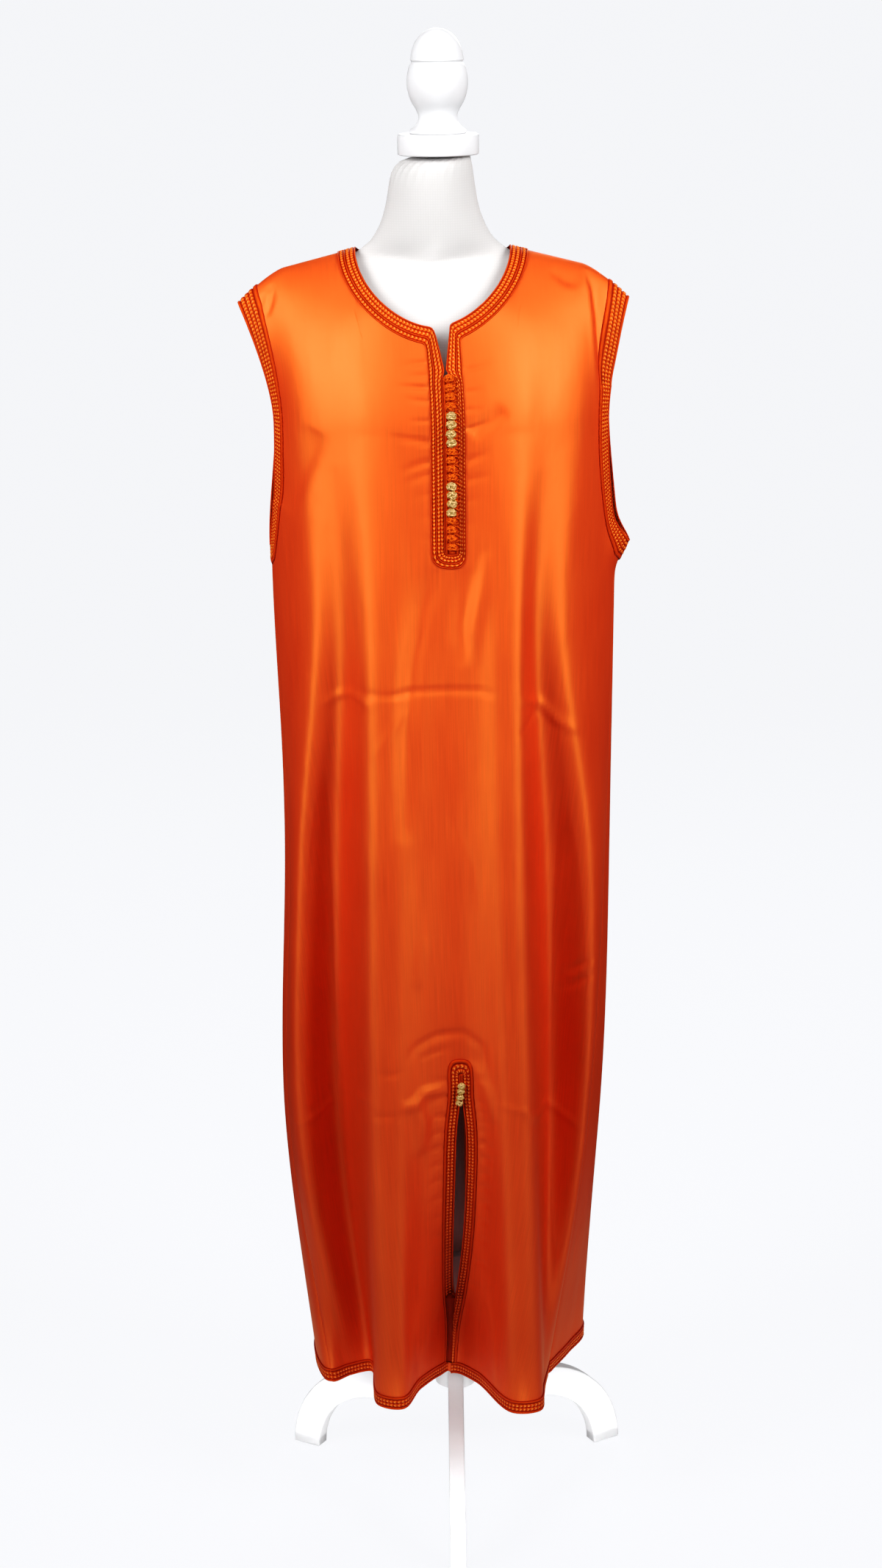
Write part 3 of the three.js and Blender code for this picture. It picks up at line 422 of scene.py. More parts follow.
def edge_share(climb):
    """The share at which the armhole's edge cuts the cloth."""
    t = np.clip((climb - UNDERARM) / (CHEST - UNDERARM), 0, 1)
    return 1 - (1 - ARM_EDGE) * np.sin(t * math.pi / 2) ** ARM_CURVE


# %% The slit and the notch
SLIT_EDGES = {"height": [HEM, 240, SLIT_MEET, 340, 430, 505, SLIT_CLOSE, SLIT_TOP],
              "gap": [-14, -10, 1, 9.5, 12.5, 9.5, 0.6, 0.4], "tuck": [8, 7.5, 6, 1.5, 0, 0, 0, 0]}
SLIT_TUCK_REACH, SLIT_TUCK_BEND = 22, 1.5  # how far from the slit the lap reaches, and how sharply it bends
NOTCH = {"bottom": 1357, "half": 7.5, "closed": 0.3}


def slit_edge(height):
    """Half the slit's gap at each height. Where its edges meet, the right one laps the left."""
    rows = np.stack([SLIT_EDGES["gap"], SLIT_EDGES["tuck"]], axis=-1)
    values = smooth_through(SLIT_EDGES["height"], rows, np.clip(height, HEM, SLIT_TOP).ravel())
    return values[:, 0].reshape(np.shape(height)) / 2, values[:, 1].reshape(np.shape(height))


def notch_edge(height):
    """How far the notch's edge stands from the centre line."""
    open_part = np.clip((height - NOTCH["bottom"]) / (NECK_FRONT - NOTCH["bottom"]), 0, 1)
    return NOTCH["closed"] + NOTCH["half"] * open_part


def slit_lift(panel, share, climb):
    """Where the slit's edges lap, the left one is tucked in, and the right one stands out by half as much."""
    if panel == "back":
        return np.zeros(np.broadcast(share, climb).shape)
    share, climb = np.broadcast_arrays(np.asarray(share, float), np.asarray(climb, float))
    edge, tuck = slit_edge(climb)
    away = np.clip((np.abs(share) * half_length(panel, share, climb) - edge) / SLIT_TUCK_REACH, 0, 1)
    lap = np.where(climb < SLIT_TOP, tuck * (1 - away) ** SLIT_TUCK_BEND, 0)
    return lap * np.where(share < 0, -1, 0.5)


# %% [markdown]
# ## The creases
# Satin keeps a crease wherever it was folded in its packet, and it puckers where a stiff braid was sewn on
# tighter than the cloth. Each one here is a soft stroke, drawn as a line with a depth and a width
# on either side, that fades out at its ends. A noise texture would cover the cloth evenly, which real
# creases never do.

# %% Creases, in millimetres: how far the cloth dips in, the width above and below the line, and its x and z
CREASES = {
    "front": {
        "packet crease, left arch": (-0.9, 7, 3, [(-136, 992), (-119, 1003), (-100, 1009), (-79, 998)]),
        "packet crease, middle": (1.0, 3, 5, [(-97, 1016), (-59, 1014), (-24, 1017), (39, 1016), (57, 1012)]),
        "packet crease, right arch": (-1.3, 8, 3, [(79, 1003), (101, 992), (120, 972), (144, 957)]),
        "step on the right": (0.8, 5, 3, [(80, 965), (98, 986)]),
        "tent's left side": (2.2, 16, 11, [(-8, 1148), (-22, 1105), (-33, 1055), (-42, 974), (-48, 850)]),
        "tent's right side": (1.6, 12, 14, [(22, 1148), (20, 1120), (17, 1084), (24, 1043)]),
        "tent's streak": (-1.4, 9, 9, [(46, 1164), (40, 1126), (31, 1084), (28, 1043)]),
        "fine diagonal on the left": (-0.6, 3, 5, [(-80, 944), (-43, 997)]),
        "fine diagonal on the right": (0.5, 3, 4, [(-2, 1010), (27, 942)]),
        "fine curve": (-0.5, 4, 4, [(-25, 1091), (-34, 1072), (-40, 1044)]),
        "hollow under the left shoulder": (1.9, 20, 14, [
            (-130, 1290), (-142, 1265), (-157, 1234), (-172, 1200)]),
        "hollow by the placket": (1.7, 14, 9, [(66, 1314), (48, 1301), (31, 1289)]),
        "fall from the right shoulder": (0.5, 20, 20, [(110, 1360), (104, 1310), (101, 1250)]),
        "fall from the left shoulder": (0.5, 22, 20, [(-112, 1360), (-106, 1310), (-104, 1260)]),
        "arc over the slit": (1.1, 4, 7, [
            (-50, 593), (-42, 611), (-16, 623), (15, 624), (34, 610), (39, 583)]),
        "inner arc": (0.8, 3, 5, [(-34, 596), (-19, 603), (-3, 605)]),
        "first cross on the left ridge": (0.8, 3, 4, [(-83, 588), (-70, 581), (-53, 586)]),
        "second cross on the left ridge": (0.8, 3, 5, [(-88, 533), (-60, 533)]),
        "fold beside the slit": (-1.8, 6, 9, [(-57, 544), (-43, 543), (-31, 556), (-9, 556)]),
        "packet crease, low left": (-0.8, 3, 6, [(-180, 500), (-151, 510), (-131, 525)]),
        "packet crease, low valley": (-0.7, 3, 5, [(-108, 543), (-91, 552)]),
        "packet crease, low right": (-1.0, 3, 6, [(50, 540), (56, 545), (81, 538), (98, 521), (149, 487)]),
        "first slant on the right": (1.0, 4, 6, [(130, 676), (160, 698)]),
        "second slant on the right": (1.0, 4, 6, [(122, 652), (160, 678)]),
        "upright in the middle": (-1.2, 7, 5, [(-29, 740), (-32, 712), (-35, 680)]),
        "long fine line": (0.7, 4, 6, [(1, 883), (28, 819), (36, 761)]),
        "fold down by the slit": (-2.2, 9, 9, [(-40, 548), (-33, 517), (-36, 480)]),
        "fold on the slit's right": (-1.6, 8, 10, [(25, 589), (39, 559), (47, 520)]),
        "fold beside the right armhole": (3.0, 12, 5, [
            (158, 1446), (164, 1428), (168, 1400), (170, 1364), (173, 1325)]),
        "first crease at the left shoulder": (1.1, 4, 5, [
            (-183, 1436), (-180, 1428), (-183, 1415), (-188, 1403)]),
        "second crease at the left shoulder": (0.8, 4, 4, [(-190, 1427), (-191, 1418), (-193, 1407)]),
        "step beside the right ridge": (1.0, 10, 6, [(118, 1449), (134, 1438), (148, 1434)]),
    },
    "back": {
        "fall from the left shoulder blade": (3.4, 16, 14, [
            (-96, 1420), (-88, 1340), (-80, 1230), (-78, 1120)]),
        "fall from the right shoulder blade": (3.0, 14, 17, [(92, 1420), (88, 1350), (84, 1250), (86, 1140)]),
        "hollow between the blades": (2.6, 24, 20, [(-12, 1392), (-4, 1330), (2, 1260)]),
        "slant under the left blade": (2.2, 12, 9, [(-150, 1290), (-124, 1240), (-106, 1180)]),
        "slant under the right blade": (2.4, 12, 10, [(152, 1284), (130, 1230), (112, 1160)]),
        "packet crease, left": (-0.9, 4, 6, [(-150, 1002), (-112, 1012), (-70, 1008), (-38, 1016)]),
        "packet crease, right": (1.0, 3, 5, [(-20, 1014), (30, 1018), (82, 1010), (140, 1001)]),
        "packet crease, low left": (-0.9, 4, 6, [(-160, 522), (-120, 540), (-76, 536)]),
        "packet crease, low right": (1.0, 3, 6, [(10, 540), (64, 534), (120, 542), (150, 530)]),
        "packet crease down the middle": (-0.8, 5, 5, [(-8, 1240), (-5, 1100), (-2, 960), (2, 820)]),
        "slack over the seat": (1.8, 12, 9, [(-66, 806), (-22, 786), (28, 790), (76, 812)]),
        "second slack": (1.2, 8, 8, [(-40, 742), (8, 730), (52, 744)]),
        "slant by the hem": (1.5, 10, 8, [(-112, 330), (-92, 280), (-84, 220)]),
        "second slant by the hem": (1.4, 9, 9, [(96, 352), (84, 300), (82, 240)]),
    },
}

# %% Puckers: the cloth is drawn in at uneven places along the sewn braids, as height, length, slope and depth
PUCKERS = {
    ("placket", "left"): [
        (1364, 26, -0.1, 0.9), (1351, 20, 0, 0.8), (1339, 32, 0.05, 1.2), (1325, 24, 0.1, 0.7),
        (1305, 20, 0, 0.5), (1283, 38, 0.15, 1.5), (1262, 30, -0.3, 1.3), (1249, 26, -0.35, 0.9),
        (1228, 18, -0.2, 0.5), (1204, 16, -0.1, 0.5), (1180, 14, 0.1, 0.4)],
    ("placket", "right"): [
        (1356, 26, 0.2, 0.8), (1334, 18, 0.1, 0.6), (1316, 16, 0, 0.5), (1296, 22, 0.3, 0.9),
        (1263, 26, 0.35, 1.2), (1243, 24, 0.15, 0.9), (1221, 16, 0.1, 0.5), (1196, 14, 0, 0.4)],
    ("slit", "left"): [
        (566, 16, 0.2, 0.8), (546, 18, -0.3, 1.3), (523, 14, -0.2, 1.3), (502, 15, -0.3, 1.0),
        (483, 13, -0.1, 1.2), (462, 15, -0.3, 0.9), (441, 12, -0.2, 1.1), (417, 14, -0.2, 1.0),
        (392, 12, 0, 0.8), (366, 13, -0.1, 0.8), (338, 12, 0.1, 0.7), (306, 12, 0, 0.6)],
    ("slit", "right"): [
        (569, 14, 0.1, 0.7), (540, 12, 0, 1.1), (528, 12, 0, 1.1), (516, 12, 0.1, 1.0),
        (505, 13, 0, 1.1), (490, 16, -0.3, 1.5), (472, 14, -0.2, 1.4), (452, 13, -0.1, 1.1),
        (434, 12, 0, 1.0), (413, 13, 0.1, 1.0), (390, 12, 0, 0.9), (364, 12, 0.1, 0.8),
        (334, 13, 0, 0.7), (300, 12, 0.1, 0.6)],
}
PUCKER_WIDTH = 3.6  # above and below its line
PUCKER_START = 3  # how far from the braid it starts
PLACKET_HALF_WIDTH = 18.5

strokes = {panel: list(creases.values()) for panel, creases in CREASES.items()}
for (place, side), puckers in PUCKERS.items():
    out = -1 if side == "left" else 1
    for height, length, slope, depth in puckers:
        slit_half = SLIT_TRIM_WIDTH + float(slit_edge(np.array(height))[0])
        half = PLACKET_HALF_WIDTH if place == "placket" else slit_half
        centre = float(bare_point("front", 0, climb_at("front", np.array(0.0), height))[0])
        start = centre + out * (half + PUCKER_START)
        line = [(start, height), (start + out * length / 2, height + slope * length / 2),
                (start + out * length, height + slope * length * 1.2)]
        strokes["front"].append((depth, PUCKER_WIDTH, PUCKER_WIDTH, line))
print(len(strokes["front"]), "strokes on the front,", len(strokes["back"]), "on the back")


# %% The creased surface
SEAM_DIP, SEAM_REACH = 1.3, 5  # a seam pulls the cloth in beside it
STITCH_DIP, STITCH_REACH = 1.5, 1.1  # and its line of stitches sinks in sharply
PRESS = 1.9  # how firmly the creases and the puckers above are pressed in
STROKE_REACH = 2.6  # a stroke has faded out at this many times its width
LIP = 0.7  # how strongly the cloth rises again beside a dip
PUCKER_FADE, CREASE_FADE = 0.8, 0.55  # how soon a stroke's end fades: the lower, the nearer to the end


def crease_depth(panel, points):
    """How far each point is pressed in by its panel's strokes. Each dip has a low lip on both sides."""
    total = np.zeros(points.shape[:-1])
    place = points[..., [0, 2]]
    for number, (dip, above, below, line) in enumerate(strokes[panel]):
        line = np.array(line, float)
        reach = STROKE_REACH * max(above, below)
        near = np.all((place > line.min(axis=0) - reach) & (place < line.max(axis=0) + reach), axis=-1)
        spot = place[near]
        if not len(spot):
            continue
        steps = np.diff(line, axis=0)
        sizes = np.hypot(*steps.T)
        run = np.concatenate([[0], np.cumsum(sizes)])
        best, over, along = np.full(len(spot), 1e9), np.zeros(len(spot)), np.zeros(len(spot))
        for start, step, size, before in zip(line, steps, sizes, run):
            part = np.clip((spot - start) @ step / size**2, 0, 1)
            away = spot - (start + part[:, None] * step)
            gap = np.hypot(*away.T)
            side = (step[0] * away[:, 1] - step[1] * away[:, 0]) * (1 if step[0] > 0 else -1)
            closer = gap < best
            over = np.where(closer, side, over)
            along = np.where(closer, (before + part * size) / run[-1], along)
            best = np.where(closer, gap, best)
        far = best / np.where(over > 0, above, below)
        along = np.clip(along, 0, 1)
        if number >= len(CREASES[panel]):
            fade = (1 - along) ** PUCKER_FADE  # a pucker is deepest at the braid
        else:
            fade = np.sin(along * math.pi) ** CREASE_FADE
        total[near] += PRESS * dip * fade * (1 - LIP * far**2) * np.exp(-(far**2))
    return total


def cloth_point(panel, share, climb, lift=0.0):
    """The creased cloth's middle surface, or a place lifted off it."""
    share, climb = np.broadcast_arrays(np.asarray(share, float), np.asarray(climb, float))
    points = bare_point(panel, share, climb)
    from_seam = (1 - np.abs(share)) * half_length(panel, share, climb)
    dips = ((SEAM_DIP, SEAM_REACH), (STITCH_DIP, STITCH_REACH))
    drawn_in = sum(dip * np.exp(-((from_seam / reach) ** 2)) for dip, reach in dips)
    seam = np.where(climb < UNDERARM, drawn_in, 0)
    up = slit_lift(panel, share, climb) + lift - crease_depth(panel, points) - seam
    return points + up[..., None] * normals_of(panel, share, climb)


# %% [markdown]
# ## The two panels
# Satin is thin, so each panel is a grid of points on that surface with a wall of its own. The grid follows
# the cut: it leaves the slit open, parts at the notch under the throat, and ends under the braids at the
# neckline and the armholes, so that the braids bind its edges as they do on the real robe.

# %% Meshes from grids of points
def select_only(piece):
    bpy.ops.object.select_all(action="DESELECT")
    piece.select_set(True)
    bpy.context.view_layer.objects.active = piece


def apply_modifier(piece, kind, **settings):
    select_only(piece)
    modifier = piece.modifiers.new(kind.lower(), kind)
    for key, value in settings.items():
        setattr(modifier, key, value)
    bpy.ops.object.modifier_apply(modifier=modifier.name)


def tidy_mesh(piece, merge=0.02, recalculate=False):
    """Doubles merged within a distance in millimetres, and the faces turned outwards if that is asked for."""
    select_only(piece)
    bpy.ops.object.mode_set(mode="EDIT")
    bpy.ops.mesh.select_all(action="SELECT")
    bpy.ops.mesh.remove_doubles(threshold=merge * MM)
    if recalculate:
        bpy.ops.mesh.normals_make_consistent(inside=False)
    bpy.ops.object.mode_set(mode="OBJECT")


def mesh_piece(name, points, faces, uvs=None, thread_tone_and_painted_shade=None):
    """A smooth piece at the origin, from points in millimetres round the pole and faces as lists of them."""
    mesh = bpy.data.meshes.new(name)
    mesh.from_pydata((points * MM + np.array(AXIS)).tolist(), [], [list(face) for face in faces])
    corners = np.zeros(len(mesh.loops), dtype=np.int32)
    mesh.loops.foreach_get("vertex_index", corners)
    if uvs is not None:
        layer = mesh.uv_layers.new(name="cloth")
        layer.data.foreach_set("uv", (uvs * MM)[corners].astype(np.float32).ravel())
    if thread_tone_and_painted_shade is not None:
        # the braid's thread value, which its material paints as shade in the grooves and highlight on the
        # crests
        layer = mesh.attributes.new("thread", "FLOAT", "POINT")
        layer.data.foreach_set("value", thread_tone_and_painted_shade.astype(np.float32))
    mesh.polygons.foreach_set("use_smooth", np.ones(len(mesh.polygons), dtype=bool))
    mesh.update()
    piece = bpy.data.objects.new(name, mesh)
    bpy.context.collection.objects.link(piece)
    return piece


def grid_faces(rows, columns, first=0, flip=False, closed=False):
    """Quads of a grid that is stored row by row, which closes on itself across where it is a tube."""
    across = np.arange(columns if closed else columns - 1)
    start = first + np.arange(rows - 1)[:, None] * columns
    left, right = start + across, start + (across + 1) % columns
    faces = np.stack([left, right, right + columns, left + columns], axis=-1).reshape(-1, 4)
    return faces[:, ::-1] if flip else faces


# %% The panels
SATIN_WALL = 1.2
LOW_ROWS, YOKE_ROWS, HALF_COLUMNS = 280, 64, 62
UNDER_BRAID = 3  # the cloth ends this far inside a braid's outer edge
NOTCH_UNDER, NOTCH_CUT = 0.7, 8  # that distance's share at the notch, and the cut's depth below the notch
ARM_EASE = 20  # the climb over which the armhole's cut moves in under its braid


def panel_half(panel, side):
    """Shares and climbs of one half of a panel, a row for each climb and a column for each step out."""
    sign = -1 if side == "left" else 1
    low = np.linspace(HEM + 0.5, CHEST, LOW_ROWS)
    parts = np.concatenate([np.zeros(LOW_ROWS), np.linspace(0, 1, YOKE_ROWS + 1)[1:]])
    level = np.concatenate([low, np.full(YOKE_ROWS, float(CHEST))])
    half = half_length(panel, np.full(len(level), float(sign)), level)
    centre_top = neck_climb(panel, np.array([0.0]), UNDER_BRAID)[0]
    centre_z = bare_point(panel, np.zeros(len(level)), level + parts * (centre_top - CHEST))[:, 2]
    start = np.zeros(len(level))
    if panel == "front":
        in_notch = centre_z > NOTCH["bottom"] - NOTCH_CUT
        opened = np.where(in_notch, notch_edge(centre_z) + UNDER_BRAID * NOTCH_UNDER, 0)
        start = np.where(level <= SLIT_TOP, slit_edge(level)[0], opened)
    end = half * edge_share(level) - UNDER_BRAID * np.clip((level - UNDERARM) / ARM_EASE, 0, 1)
    last = end - 2 * STITCH_REACH
    inner = start[:, None] + (last - start)[:, None] * np.linspace(0, 1, HALF_COLUMNS - 1)
    distance = np.column_stack([inner, end - STITCH_REACH, end])
    share = sign * distance / half[:, None]
    top = neck_climb(panel, share, UNDER_BRAID)
    return share, level[:, None] + parts[:, None] * (top - CHEST), sign * distance


def build_panel(panel):
    """Both halves as one mesh, joined where the cloth is whole, with the cloth's own plan as its UV map."""
    points, uvs, faces, area = [], [], [], 0
    for side in ("left", "right"):
        share, climb, distance = panel_half(panel, side)
        place = cloth_point(panel, share, climb)
        flip = (side == "left") == (panel == "front")
        faces.append(grid_faces(*share.shape, first=sum(len(p) for p in points), flip=flip))
        points.append(place.reshape(-1, 3))
        uvs.append(np.stack([distance, climb], axis=-1).reshape(-1, 2))
        one, other = place[1:, 1:] - place[:-1, :-1], place[1:, :-1] - place[:-1, 1:]
        area += np.linalg.norm(np.cross(one, other), axis=-1).sum() / 2
    piece = mesh_piece(f"{panel}_cloth", np.vstack(points), np.vstack(faces), np.vstack(uvs))
    tidy_mesh(piece)
    apply_modifier(piece, "SOLIDIFY", thickness=SATIN_WALL * MM, offset=0)
    print(piece.name, len(piece.data.polygons), "faces,", round(area / 1e6, 3), "square metres")
    return piece, area / 1e6


cloth, cloth_area = {}, {}
for panel in ("front", "back"):
    cloth[panel], cloth_area[panel] = build_panel(panel)
    finish_piece(cloth[panel], "satin", f"{panel}_panel")

# %% [markdown]
# ## The silk braids
# Every edge is bound with a hand-made braid of twisted silk: plain rolled cords at its borders and rows of
# chain stitch between them. Each braid is a strip with that section, run along the edge's own line on the
# cloth. The rows of stitches are modelled, since they catch the light, and their finer threads are left to
# the material.

# %% The sections of the braids: from and to across, in millimetres, the crest's height, and the kind of cord
BRAIDS = {
    "neck": [(0, 1.8, 1.2, "cord"), (2.4, 6.6, 1.5, "chain"), (7.0, 11.2, 1.5, "chain"),
             (11.8, 13.4, 1.3, "cord"), (14.0, 17.8, 1.5, "chain"), (18.4, 20, 1.2, "cord")],
    "strip": [(0, 3.0, 1.0, "cord"), (3.6, 10.4, 0.8, "plain"), (11.0, 14.0, 1.0, "cord")],
    "slit": [(0, 2.0, 1.3, "cord"), (2.7, 6.6, 1.5, "chain"), (7.0, 10.9, 1.5, "chain"),
             (11.6, 15, 1.3, "cord")],
    "hem": [(0, 3.0, 1.4, "cord"), (3.8, 7.8, 1.5, "chain"), (8.2, 12.2, 1.5, "chain"),
            (13.0, 16, 1.3, "cord")],
    "arm": [(0, 2.6, 1.5, "cord"), (3.2, 7.4, 1.5, "chain"), (7.8, 12.0, 1.5, "chain"),
            (12.4, 16.6, 1.5, "chain"), (17.4, 22, 1.3, "cord")],
}
CORD_PARTS = {  # the columns over each kind of cord, as parts of the way across it
    "cord": (0, 0.2, 0.5, 0.8, 1),
    "chain": (0, 0.16, 0.5, 0.84, 1),
    "plain": (0, 0.12, 0.35, 0.65, 0.88, 1),
}
STITCH = 4.2  # one chain stitch along the braid
BRAID_STEP = 0.84
BRAID_FLOOR = 0.65  # the braid's underside, above the cloth's middle surface
GROOVE = 0.95  # the grooves between the cords, above the same surface
STITCH_SLANT = 0.35  # how far a stitch's sides lag behind its middle, as a part of a stitch
STITCH_LOW, RIBBON_LOW = 0.35, 0.8  # the height between two stitches, and of a ribbon, beside the crest's
CORD_STEP, CORD_SIDE = 0.1, 0.99  # a cord starts with a small step up, just inside its side
STITCH_GAP_SHADE, STITCH_HIGHLIGHT_SHARPNESS, CORD_PAINTED_SHADE = 0.25, 1.5, 0.42  # painted shade: the thread value between stitches, how sharply it rises to a stitch's painted highlight, and its level on cords
braids = {"front": [], "back": []}


def braid_columns(section):
    """For each column across: its place, crest height, part of the way over its cord, and kind of cord."""
    columns = []
    for low, high, crest, kind in section:
        columns += [(low + (high - low) * part, crest, part, kind) for part in CORD_PARTS[kind]]
    return columns


def lay_braid(name, panel, share, climb, section, nodes):
    """A braid along guide lines on the cloth. The guide grid has a row for each place along, and a column for
    each equal step across the braid, from its outer edge to its inner one."""
    columns = braid_columns(BRAIDS[section])
    width = BRAIDS[section][-1][1]
    guide = cloth_point(panel, share, climb)
    run = run_along(guide[:, guide.shape[1] // 2])
    along = np.linspace(0, run[-1], max(3, int(run[-1] / BRAID_STEP)))
    fine = [np.stack([np.interp(along, run, line) for line in grid.T], axis=-1) for grid in (share, climb)]
    across = np.array([column[0] for column in columns])
    at = across / width * (guide.shape[1] - 1)
    k = np.clip(at.astype(int), 0, guide.shape[1] - 2)
    share, climb = (grid[:, k] * (1 - (at - k)) + grid[:, k + 1] * (at - k) for grid in fine)
    crest, part = (np.array([column[n] for column in columns]) for n in (1, 2))
    chain = np.array([column[3] == "chain" for column in columns])
    plain = np.array([column[3] == "plain" for column in columns])
    side = np.abs(part - 0.5) * 2
    bulge = np.sqrt(np.clip(1 - side**2, 0, 1)) * (1 - CORD_STEP) + CORD_STEP * (side < CORD_SIDE)
    phase = 2 * math.pi * (along[:, None] / STITCH + STITCH_SLANT * side[None, :])
    wave = np.where(chain, 0.5 + 0.5 * np.cos(phase), 1)
    stitched = STITCH_LOW + (1 - STITCH_LOW) * wave
    lift = GROOVE + crest * bulge * np.where(chain, stitched, np.where(plain, RIBBON_LOW, 1))
    # painted shade and highlight: 0 at the braid's low places (its grooves, the gaps between stitches and its
    # underside edges), up to 1 on the crests
    thread_tone_and_painted_shade = bulge * np.where(chain, STITCH_GAP_SHADE + (1 - STITCH_GAP_SHADE) * wave**STITCH_HIGHLIGHT_SHARPNESS, CORD_PAINTED_SHADE)
    top = cloth_point(panel, share, climb, lift)
    floors = [cloth_point(panel, share[:, edge], climb[:, edge], BRAID_FLOOR) for edge in ([0], [-1])]
    grid = np.concatenate([floors[0], top, floors[1]], axis=1)
    edge = np.zeros((len(along), 1))
    thread_tone_and_painted_shade = np.concatenate([edge, thread_tone_and_painted_shade, edge], axis=1)
    place = np.concatenate([[0], across, [width]])
    uvs = np.stack(np.broadcast_arrays(place[None, :], along[:, None]), axis=-1)
    rows, count = grid.shape[:2]
    faces = grid_faces(rows, count, closed=True).tolist()
    faces += [list(range(count)), list(range((rows - 1) * count, rows * count))[::-1]]
    piece = mesh_piece(name, grid.reshape(-1, 3), faces, uvs.reshape(-1, 2), thread_tone_and_painted_shade.ravel())
    tidy_mesh(piece, merge=0.001, recalculate=True)
    braids[panel].append(finish_piece(piece, "braid", *nodes))
    print(name, round(run[-1]), "mm long,", len(piece.data.polygons), "faces")


# %% The hem braids
GUIDES, HEM_ROWS = 5, 260
steps_across = np.linspace(0, 1, GUIDES)
for name, side in (("hem_trim_front_left", -1), ("hem_trim_front_right", 1), ("hem_trim_back", 0)):
    panel = "front" if side else "back"
    climb = HEM + np.broadcast_to(steps_across * HEM_TRIM_WIDTH, (HEM_ROWS, GUIDES))
    if side:
        start = slit_edge(climb)[0] / half_length(panel, float(side), climb)
        share = side * (start + (1 - start) * np.linspace(0, 1, HEM_ROWS)[:, None])
    else:
        share = np.broadcast_to(np.linspace(-1, 1, HEM_ROWS)[:, None], climb.shape)
    lay_braid(name.replace("trim", "braid"), panel, share, climb, "hem", [name])


# %% The slit braid goes up one edge, turns flat over the slit's top, and comes down the other
SLIT_ROWS, SLIT_TURN_ROWS = 120, 36
SLIT_SQUARENESS = 0.62  # a braid pressed round a corner is squarer than a circle, whose squareness is one


def turn(rows, squareness):
    """Places on a flattened half circle between its two ends, from the left one over its top to the right."""
    angle = np.pi * np.linspace(0, 1, rows)[1:-1]
    cos, sin = np.cos(angle), np.sin(angle)
    return -np.sign(cos) * np.abs(cos) ** squareness, np.abs(sin) ** squareness


upright = np.linspace(HEM + HEM_TRIM_WIDTH, SLIT_TOP, SLIT_ROWS)
turn_x, turn_z = turn(SLIT_TURN_ROWS, SLIT_SQUARENESS)
offset = steps_across * SLIT_TRIM_WIDTH
edge, _ = slit_edge(upright)
top_edge = edge[-1]
up_side = edge[:, None] + offset
distance = np.concatenate([-up_side, turn_x[:, None] * (top_edge + offset), up_side[::-1]])
height = np.concatenate([np.broadcast_to(upright[:, None], up_side.shape),
                         SLIT_TOP + turn_z[:, None] * offset * (SLIT_TRIM_TOP - SLIT_TOP) / SLIT_TRIM_WIDTH,
                         np.broadcast_to(upright[::-1, None], up_side.shape)])
share = distance / half_length("front", distance, height)
lay_braid("slit_braid", "front", share, height, "slit", ["slit_trim"])

# %% [markdown]
# The neck braid and the placket's arms are one length of braid on the real robe. It comes down from the
# shoulder, turns sharply at the notch, runs down beside the knots, round under them, and back up the other
# side.

# %% The lines of the neck braid: out along the neckline, from the notch's corner to the ridge
PLACKET = {"bottom": 1148, "turn": 1167, "left": 3.5, "right": 10.5, "half": PLACKET_HALF_WIDTH}
TURN_DEPTH, PLACKET_SQUARENESS = 4, 0.75  # how far the turn's inner edge goes below the strip, and its shape
NECK_ROWS, PLACKET_ROWS, TURN_ROWS, NECKLINE_STEPS = 46, 80, 26, 400
NOTCH_EASE = 13  # the height over which the braid moves from the notch's edge to the strip's
NOTCH_CLEAR = 0.3  # between the notch's edge and the braid


def neck_lines(panel, first_share, rows):
    """Share and climb along the neckline, moved out by each guide's width, from a share to the ridge."""
    side = np.sign(first_share[-1]) or 1
    shares, climbs = [], []
    for grow, first in zip(steps_across * NECK_TRIM_WIDTH, first_share):
        half = NECK_HALF_WIDTH + grow
        bottom = (NECK_FRONT if panel == "front" else NECK_BACK) - grow * NECK_TRIM_DROP / NECK_TRIM_WIDTH
        start_x = bare_point(panel, first, neck_climb(panel, np.array([first]), grow)[0])[0]
        out = min(abs(start_x - CENTRE_X) / half, 0.999)
        start = math.asin(out ** (NECK_ROUNDNESS / 2))
        angle = np.linspace(start, math.pi / 2, NECKLINE_STEPS)
        x = CENTRE_X + side * half * np.sin(angle) ** (2 / NECK_ROUNDNESS)
        z = NECK_POINT - (NECK_POINT - bottom) * np.cos(angle) ** (2 / NECK_ROUNDNESS)
        last = int(np.argmax(z > ridge_height(x))) or len(x) - 1
        run = run_along(np.stack([x[:last], z[:last]], axis=-1))
        at = np.linspace(0, run[-1], rows)
        share, climb = share_at(panel, np.interp(at, run, x[:last]), np.interp(at, run, z[:last]))
        climb[-1] = RIDGE
        shares.append(share)
        climbs.append(climb)
    return np.stack(shares, axis=-1), np.stack(climbs, axis=-1)


def placket_side(side):
    """One arm of the placket, from the notch's corner down to the turn: each guide's share and climb."""
    out = -1 if side == "left" else 1
    corner_distance = NOTCH["half"] + steps_across * (PLACKET_HALF_WIDTH - NOTCH["half"])
    chest_half = half_length("front", float(out), CHEST)
    corner_share = out * corner_distance / chest_half
    corner_climb = np.array([neck_climb("front", np.array([s]), g)[0]
                             for s, g in zip(corner_share, steps_across * NECK_TRIM_WIDTH)])
    part = np.linspace(0, 1, PLACKET_ROWS)[:, None]
    climb = corner_climb + (PLACKET["turn"] - corner_climb) * part
    z = bare_point("front", np.zeros_like(climb), climb)[..., 2]
    ease = np.clip((NOTCH["bottom"] - z) / NOTCH_EASE, 0, 1)
    beside = notch_edge(z) + NOTCH_CLEAR
    inner = beside + (PLACKET[side] - beside) * ease**2 * (3 - 2 * ease)
    distance = inner + steps_across * (PLACKET["half"] - inner)
    share = out * distance / half_length("front", float(out), climb)
    return share, climb, corner_share


